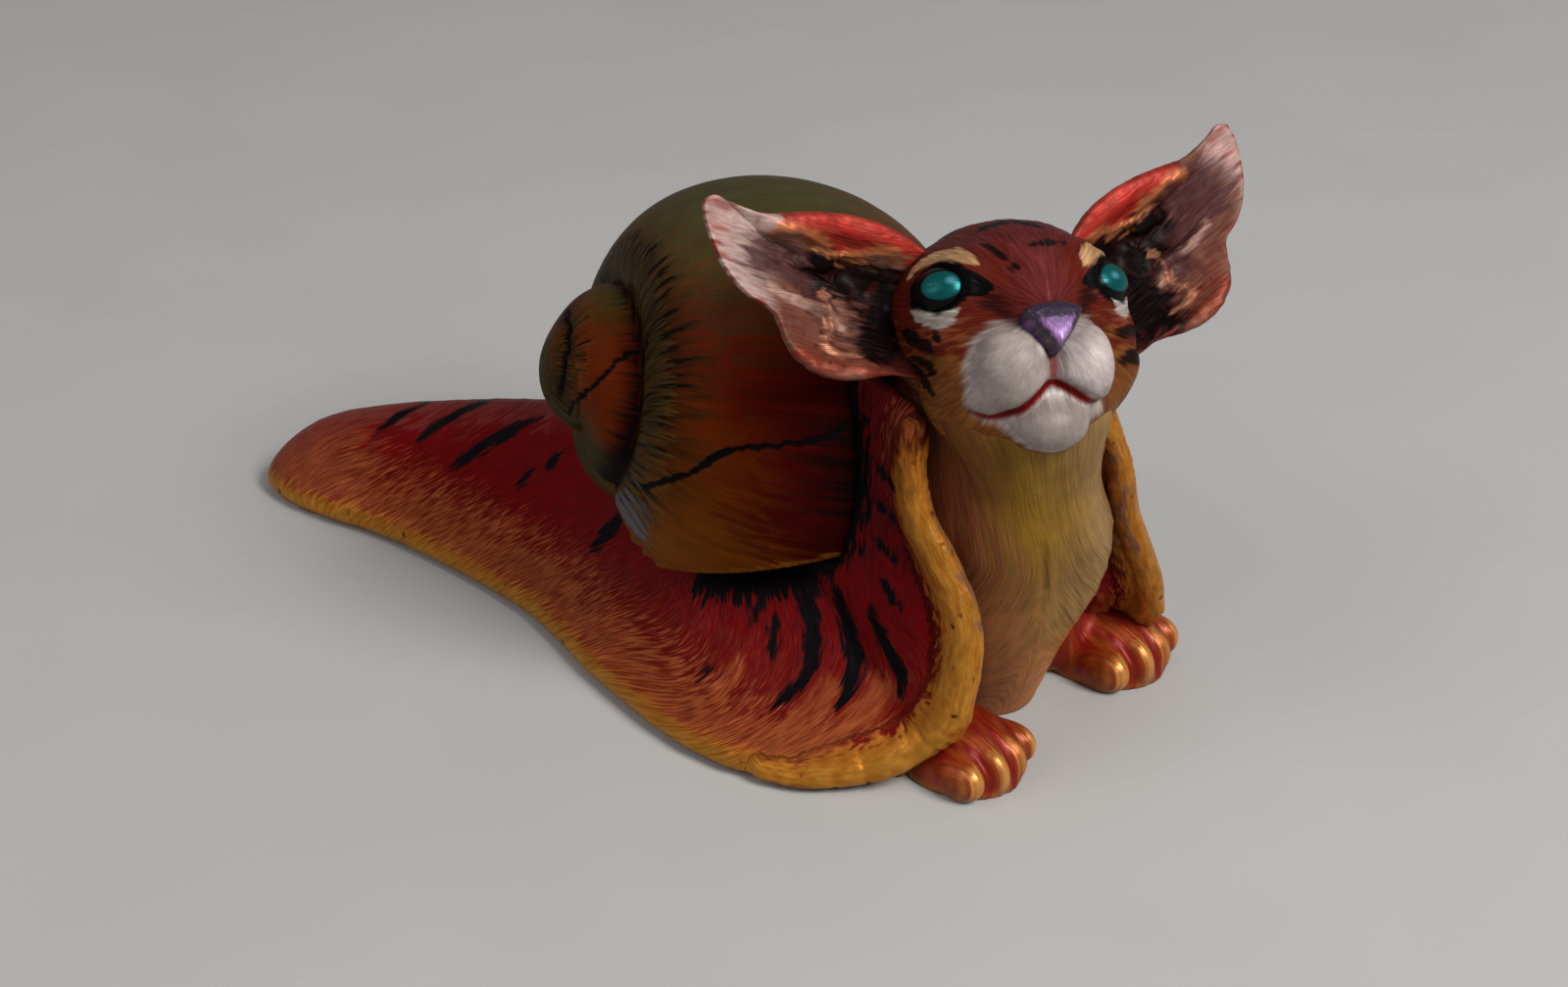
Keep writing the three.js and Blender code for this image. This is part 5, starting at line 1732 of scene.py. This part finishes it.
@dataclass
class Ear:
    """A wide, cupped and folded ear."""

    name: str
    side: int
    lift: float
    lean: float
    length: float = 27.0
    width: float = 14.0
    cup: float = 3.4
    wall: float = 2.4
    root: Triple = (1.26, 7.955, 2.604)
    pale_from: float = 0.5
    # How far the painted shade in the hollow reaches.
    dark_reach: float = 2.4
    fold_width: float = 0.42
    knob: Pair = (0.9, 0.25)
    grain_depth: float = 0.08
    crumple_depth: float = 0.3
    columns: int = 240
    rows: int = 120

    # Lines on the ear run through pairs of shares of its length and width.
    OUTLINE = [
        (0.815, 0.02), (0.785, 0.072), (0.74, 0.07), (0.66, 0.068), (0.58, 0.09), (0.51, 0.15),
        (0.43, 0.22), (0.34, 0.285), (0.22, 0.325), (0.1, 0.31), (-0.1, 0.22), (-0.22, -0.05),
        (-0.22, -0.35), (-0.08, -0.5), (0.06, -0.57), (0.16, -0.67), (0.26, -0.72), (0.35, -0.68),
        (0.41, -0.61), (0.455, -0.51), (0.5, -0.455), (0.57, -0.435), (0.64, -0.38), (0.7, -0.3),
        (0.75, -0.2), (0.795, -0.08), (0.815, 0.02),
    ]
    MIDDLE = (0.24, -0.11)
    ROLL = [(0.68, 0.0), (0.58, 0.03), (0.5, 0.1), (0.42, 0.16), (0.34, 0.21), (0.22, 0.25), (0.1, 0.25)]
    COPPER = [
        (0.55, 0.03), (0.45, 0.08), (0.37, 0.09), (0.32, 0.07), (0.25, 0.11), (0.19, 0.17), (0.13, 0.2),
    ]
    HOLLOW = [(0.31, -0.01), (0.23, 0.0), (0.17, -0.06), (0.1, -0.1)]
    SHADOW = [(0.31, 0.0), (0.2, -0.02), (0.1, -0.04), (0.08, -0.2), (0.1, -0.38)]
    TROUGH = [(0.57, -0.14), (0.47, -0.1), (0.39, -0.14), (0.33, -0.2)]
    FOLD = [(0.5, -0.31), (0.42, -0.315), (0.36, -0.3), (0.29, -0.28), (0.26, -0.3), (0.22, -0.35)]
    CRUMPLE = [(0.3, -0.18), (0.28, -0.28), (0.25, -0.38), (0.27, -0.47), (0.23, -0.54), (0.16, -0.5)]
    LOBE_EDGE = [(0.36, -0.63), (0.27, -0.66), (0.17, -0.61), (0.08, -0.52)]
    KNOBS = [(0.385, 0.02), (0.33, 0.01), (0.43, -0.06)]
    # Ridges and troughs on the hollow side: each line, its half width and its depth.
    FORMS = [
        (ROLL, 1.1, -0.7), (COPPER, 0.45, -0.3), (HOLLOW, 1.7, 0.8), (TROUGH, 1.2, 0.55),
        (FOLD, 0.45, -0.6), (CRUMPLE, 0.4, -0.35), (LOBE_EDGE, 0.9, -0.4),
    ]

    def place(self) -> Place:
        """The ear's own frame within the head: towards its tip, its upper edge and its hollow."""
        lean, lift = math.radians(self.lean), math.radians(self.lift)
        out, up = math.cos(lean) * math.cos(lift), math.cos(lean) * math.sin(lift)
        tip = np.array((math.sin(lean), self.side * out, up))
        hollow = np.array((0.9, self.side * 0.1, 0.1))
        hollow = unit(hollow - tip * (hollow @ tip))
        return Place(
            np.array(self.root) * (1, self.side, 1),
            np.stack([tip, np.cross(hollow, tip) * self.side, hollow], axis=1),
        )

    def _leaf(self, directions: Array) -> Array:
        """Lays a ball's points out as a thin cupped leaf."""
        size = np.array((self.length, self.width))
        edge = spline(self.OUTLINE, 16) * size
        middle = np.array(self.MIDDLE) * size
        turn = (np.arctan2(directions[:, 1], directions[:, 0]) / (2 * np.pi)) % 1.0 * (len(edge) - 1)
        steps = np.arange(len(edge))
        outer = np.stack([np.interp(turn, steps, column) for column in edge.T], axis=1)
        out = np.hypot(directions[:, 0], directions[:, 1])
        flat = middle + (outer - middle) * out[:, None]
        thick = np.sign(directions[:, 2]) * np.abs(directions[:, 2]) ** 0.6 * self.wall / 2
        return np.column_stack([flat, thick - self.cup * (1.0 - out**2)])

    def _front_path(self, clay: Clay, path: Path) -> Array:
        """Lifts a path of shares along and across the ear onto its hollow side."""
        front = clay.points[clay.normals()[:, 2] > 0.2]
        line = spline(path) * np.array((self.length, self.width))
        nearest = [front[np.argmin(np.sum((front[:, :2] - spot) ** 2, axis=1))] for spot in line]
        return np.array(nearest)

    def build(self) -> Piece:
        """Sculpts and paints the ear."""
        clay = Clay(new_piece(f"{self.name}_leaf", ball(self.columns, self.rows)))
        facing = clay.points[:, 2].copy()
        clay.points = self._leaf(clay.points)
        along, across = clay.points[:, 0] / self.length, clay.points[:, 1] / self.width
        for line, width, depth in self.FORMS:
            clay.score(self._front_path(clay, line), width, depth)
        for spot in self._front_path(clay, self.KNOBS):
            clay.swell(spot, *self.knob)
        rough = 0.6 * smooth(0.62, 0.4, along) * smooth(0.25, 0.0, across)
        coarse, fine = (along * 16 + 20, across * 8 + 20), (along * 40 + 20, across * 20 + 20)
        depth = self.grain_depth + self.crumple_depth * rough
        clay.push(depth * two_grains(51, coarse, fine, 0.6))
        clay.relax(2)
        self._mark(clay, along, across, facing)
        clay.comb(across * self.width + along * 4.0, along * self.length)
        if self.side < 0:
            clay.piece.data.flip_normals()
        clay.points = HEAD.outward(self.place().outward(clay.points))
        return dress(clay, EAR_PAINT, self.name)

    def _mark(self, clay: Clay, along: Array, across: Array, facing: Array) -> None:
        """Marks out the ear's colours, with painted shade in its hollow and creases."""
        flat = clay.points[:, :2]
        size = np.array((self.length, self.width))

        def front(values: Array) -> Array:
            """The values on the hollow side, and none behind it."""
            return np.where(facing > 0, values, -4.0)

        ridge = spline(self.COPPER)[::-1]
        above = (across - np.interp(along, ridge[:, 0], ridge[:, 1])) * self.width
        clay.mark("tip", (along - self.pale_from) * self.length - np.maximum(0.0, across + 0.05) * 8.0)
        clay.mark("tip_end", (along - 0.71) * self.length)
        clay.mark("upper", np.minimum(above - 0.3, (0.54 - along) * self.length))
        # The hollow mark is painted shade, near black, in the ear's deep hollow.
        reaches = {
            "copper": (0.42, self.COPPER), "hollow": (self.dark_reach, self.SHADOW),
            "trough": (self.dark_reach - 0.6, self.TROUGH), "fold": (self.fold_width, self.FOLD),
            "crumple": (0.34, self.CRUMPLE), "lobe_edge": (1.0, self.LOBE_EDGE),
        }
        for name, (reach, line) in reaches.items():
            clay.mark(name, front(reach - along_path(flat, spline(line) * size)[0]))
        clay.mark("lobe", front(np.minimum((-0.34 - across) * self.width, (0.47 - along) * self.length)))
        clay.mark("root", (0.11 - along) * self.length - np.maximum(0.0, across - 0.05) * 20.0)
        clay.mark("back", -facing * 3.0)
        # Darker in creases: a dark wash and painted shade.
        clay.mark("crease_wash_and_shade", clay.hollows(2) - 0.8)


EAR_PAINT = PaintedFinish(
    "brushed_ear_paint", "ear_paint", Colour(112, 72, 58),
    (
        Coat("tip", Colour(178, 152, 146), feather=2.0, soft=3.0, streak=0.25),
        Coat("tip_end", Colour(140, 92, 84), feather=1.5, soft=2.0, streak=0.7),
        Coat("lobe", Colour(102, 60, 48), feather=1.0, soft=1.2),
        Coat("trough", Colour(68, 38, 40), feather=1.0, soft=1.2, cover=0.9),
        Coat("root", Colour(46, 5, 5), feather=1.2, soft=1.5, cover=0.9),
        Coat(
            "lobe_edge", Colour(118, 54, 38), feather=0.8, soft=0.8, streak=0.4, shine=0.3, roughness=0.38
        ),
        # Painted shade in the ear's deep hollow.
        Coat("hollow", Colour(8, 0, 0), feather=0.7, soft=1.0, shine=0.0, roughness=0.6),
        # Darker in creases: a dark wash and painted shade.
        Coat("crease_wash_and_shade", Colour(52, 16, 14), soft=0.6, cover=0.5),
        Coat("upper", Colour(152, 38, 30), feather=0.6, soft=0.5, streak=0.25, shine=0.2, roughness=0.4),
        Coat("fold", Colour(150, 116, 104), feather=0.3, soft=0.35, streak=0.4, shine=0.15),
        Coat("crumple", Colour(146, 96, 72), feather=0.4, soft=0.3, streak=0.6, shine=0.3, roughness=0.36),
        Coat("copper", Colour(158, 96, 60), feather=0.4, soft=0.35, streak=0.6, shine=0.4, roughness=0.36),
        Coat("back", Colour(112, 40, 30), feather=1.0, soft=1.0, shine=0.15),
    ),
    roughness=0.46, fineness=1.6, stretch=5.0, relief=0.08, hair_tone=0.3,
    pits="lobe", pit_colour=Colour(52, 18, 14), pit_spacing=1.3, varnish=0.03, gloss=0.06,
)


@dataclass
class Paw:
    """A forepaw with four toes."""

    name: str
    at: Triple
    yaw: float = -4.0
    swell: float = 1.0
    foot: Triple = (12.6, 10.34, 10.4)
    foot_at: Triple = (-6.9, 0.0, 0.98)
    wrist: Triple = (9.0, 8.8, 10.5)
    wrist_at: Triple = (-11.1, 0.0, 4.34)
    toe: Triple = (5.4, 3.4, 5.2)
    toes: int = 4
    outer_toe: float = 0.84
    toe_pitch: float = 2.7
    toe_height: float = 2.0
    toe_front: float = -0.35
    toe_step: float = 0.75
    toe_curve: float = 0.6
    parting_depth: float = 0.25
    cell: float = 0.26

    def build(self) -> Piece:
        """Sculpts and paints the paw."""
        lumps = [egg(self.foot, self.foot_at), egg(self.wrist, self.wrist_at)]
        spread = [(toe - (self.toes - 1) / 2) * self.toe_pitch for toe in range(self.toes)]
        for aside in spread:
            back = self.toe_step * (aside / self.toe_pitch) ** 2 * self.toe_curve
            height = self.outer_toe if abs(aside) > self.toe_pitch else 1.0
            size = np.array(self.toe) * (1.0, 1.0, height)
            front = self.toe_front - back - self.toe[0] / 2
            lumps.append(egg(tuple(size), (front, aside, self.toe_height)))
        up, floor = np.array((0.0, 0.0, 1.0)), np.zeros(3)
        standing = joined([trimmed(lump, floor, up) for lump in lumps])
        clay = Clay(kneaded(f"{self.name}_skin", standing, self.cell))
        above = smooth(0.3, 0.9, clay.points[:, 2])
        clay.relax(50, above * smooth(-1.8, -4.2, clay.points[:, 0]), hold=False)
        clay.relax(8, above)
        x, y, z = clay.points.T.copy()
        parting = np.min([np.abs(y - between * self.toe_pitch) for between in (-1, 0, 1)], axis=0)
        ahead = smooth(-4.2, -2.2, x) * smooth(0.2, 1.0, z)
        clay.push(-self.parting_depth * ahead * bell(parting, 0.4))
        clay.relax(2, smooth(0.3, 0.9, clay.points[:, 2]))
        clay.mark("parting", 0.5 - parting + 2.0 * (smooth(-6.6, -3.6, x) - 1.0))
        clay.mark("wrist", -4.6 - x + 0.3 * (z - 5.0))
        # Gold paint on the toes' fronts, partly a painted highlight.
        knuckle_highlight = np.min([np.abs(y - aside) for aside in spread], axis=0)
        clay.mark("knuckle_highlight", np.minimum(0.75 - knuckle_highlight, 1.5 - np.abs(z - 2.6) + np.minimum(0.0, x + 2.4)))
        clay.mark("low", 0.9 - z)
        # Darker in creases: a dark wash and painted shade.
        clay.mark("crease_wash_and_shade", clay.hollows(2) - 1.0)
        clay.comb(y, x)
        clay.points = (clay.points - np.array(self.foot_at)) * self.swell + np.array(self.foot_at)
        clay.points[:, 2] = np.maximum(clay.points[:, 2], 0.0)
        clay.points = Place(np.array(self.at), turned("Z", self.yaw)).outward(clay.points)
        return dress(clay, PAW_PAINT, self.name)


PAW_PAINT = PaintedFinish(
    "brushed_paw_paint", "paw_paint", Colour(138, 58, 22),
    (
        Coat("wrist", Colour(120, 22, 8), feather=2.0, soft=1.8, streak=0.3, shine=0.3),
        # Gold paint on the toes' fronts, partly a painted highlight.
        Coat("knuckle_highlight", Colour(200, 136, 70), feather=0.8, soft=0.8, streak=0.3, shine=0.5, roughness=0.32),
        Coat("low", Colour(150, 100, 50), feather=0.4, soft=0.5, cover=0.8, shine=0.3),
        # Darker in creases: a dark wash and painted shade.
        Coat("crease_wash_and_shade", Colour(104, 20, 10), soft=0.8, cover=0.6),
        Coat("parting", Colour(116, 10, 6), feather=0.35, soft=0.35, cover=0.95, shine=0.2),
    ),
    shine=0.35, roughness=0.38, stretch=5.0, relief=0.08, varnish=0.08, gloss=0.15,
)


# Hidden pins

@dataclass(frozen=True)
class DrawnBrass:
    """Plain drawn rod with fine lengthwise marks."""

    colour: Colour = Colour(196, 168, 96)
    scratch_scale: float = 900.0
    scratch_squeeze: float = 0.05
    scratch_tone: float = 0.35
    roughness: float = 0.32
    unevenness: float = 0.1

    def material(self) -> bpy.types.Material:
        """Builds the brass as a material."""
        material, bench = new_material("drawn_brass")
        inputs = {0: bench.place(), 1: (1.0, 1.0, self.scratch_squeeze)}
        drawn = bench.add("ShaderNodeVectorMath", inputs, operation="MULTIPLY").outputs[0]
        marks = bench.noise(drawn, self.scratch_scale)
        tones = bench.ramp(marks, 0.3, 0.7, 0.6, 1.2)
        colour = bench.tint(self.scratch_tone, self.colour.linear(), tones, "MULTIPLY")
        low, high = self.roughness - self.unevenness, self.roughness + self.unevenness
        rough = bench.ramp(marks, 0.2, 0.8, low, high)
        bench.surface({"Base Color": colour, "Metallic": 1.0, "Roughness": rough})
        return material

    def dress(self, *nodes: str) -> None:
        """Gives CAD nodes that stay as they are this finish."""
        brass = self.material()
        for node in nodes:
            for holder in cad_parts[node].material_slots:
                holder.link = "OBJECT"
                holder.material = brass
            LOG.info("%s: kept from the CAD model", node)


# Camera, lamps and floor

@dataclass(frozen=True)
class Lamp:
    """A soft square lamp that points at a spot on the figurine."""

    name: str
    at: Triple
    size: float
    power: float
    colour: Triple = (1.0, 1.0, 1.0)

    def hang(self, spot: Vector) -> None:
        """Hangs the lamp and turns it to the spot."""
        data = bpy.data.lights.new(self.name, "AREA")
        data.shape = "SQUARE"
        data.size = self.size
        data.energy = self.power
        data.color = self.colour
        lamp = bpy.data.objects.new(self.name, data)
        lamp.location = Vector(self.at)
        lamp.rotation_euler = (spot - lamp.location).to_track_quat("-Z", "Y").to_euler()
        bpy.context.scene.collection.objects.link(lamp)


@dataclass(frozen=True)
class Stage:
    """The floor, the lamps and the camera."""

    azimuth: float = 36.0
    elevation: float = 30.0
    lens: float = 61.5
    sensor: float = 36.0
    nearest: float = 0.01
    camera_at: Triple = (0.1352, -0.1861, 0.1486)
    floor_width: float = 6.0
    floor_colour: Colour = Colour(170, 170, 169)
    floor_clouds: float = 30.0
    floor_roughness: float = 0.85
    world_light: float = 0.28
    spot: Triple = (0.0, 0.0, 0.025)
    lamps: tuple[Lamp, ...] = (
        Lamp("key_lamp", (0.5, -0.05, 0.5), 0.28, 5.2, (1.0, 0.98, 0.95)),
        Lamp("fill_lamp", (-0.3, -0.6, 0.5), 0.5, 1.6),
    )

    def build(self) -> None:
        """Sets everything up round the figurine."""
        for lamp in self.lamps:
            lamp.hang(Vector(self.spot))
        self._build_floor()
        self._build_world()
        self._build_camera()

    def _build_floor(self) -> None:
        """A plain pale floor."""
        shape = bmesh.new()
        bmesh.ops.create_grid(shape, x_segments=1, y_segments=1, size=self.floor_width / 2)
        floor = new_piece("floor", shape)
        material, bench = new_material("floor_paper")
        cloud = bench.ramp(bench.noise(bench.place(), self.floor_clouds), 0.3, 0.7, 0.97, 1.0)
        colour = bench.tint(1.0, self.floor_colour.linear(), cloud, "MULTIPLY")
        bench.surface({"Base Color": colour, "Roughness": self.floor_roughness})
        floor.data.materials.append(material)

    def _build_world(self) -> None:
        """Even light from all round."""
        world = bpy.data.worlds.new("studio")
        world.use_nodes = True
        world.node_tree.nodes["Background"].inputs["Color"].default_value = (1.0, 1.0, 1.0, 1.0)
        world.node_tree.nodes["Background"].inputs["Strength"].default_value = self.world_light
        bpy.context.scene.world = world

    def _build_camera(self) -> None:
        """The photograph's viewpoint."""
        data = bpy.data.cameras.new("camera")
        data.lens = self.lens
        data.sensor_width = self.sensor
        data.sensor_fit = "HORIZONTAL"
        data.clip_start = self.nearest
        camera = bpy.data.objects.new("camera", data)
        camera.location = self.camera_at
        camera.rotation_euler = (math.radians(90.0 - self.elevation), 0.0, math.radians(self.azimuth))
        bpy.context.scene.collection.objects.link(camera)
        bpy.context.scene.camera = camera


def main() -> None:
    """Builds every piece in order, then the stage."""
    logging.basicConfig(level=logging.INFO, format="%(message)s")
    bpy.context.scene.view_settings.view_transform = "Standard"
    cape, shell = Cape(), Shell()
    head = CatHead()
    SlugBody(cape, shell).build()
    head.build()
    Chest(cape, head.skin).build()
    shell.build()
    Ear("ear_right", side=-1, lift=24.0, lean=10.0).build()
    Ear("ear_left", side=1, lift=42.0, lean=-6.0, pale_from=0.66, dark_reach=3.8, fold_width=0.15).build()
    Paw("paw_right", at=(34.4, -10.1, 0.0)).build()
    Paw("paw_left", at=(35.8, 13.8, 0.0), swell=1.08, wrist_at=(-11.1, -3.2, 4.34)).build()
    DrawnBrass().dress("neck_dowel", "shell_dowel")
    Stage().build()


if __name__ == "__main__":
    main()
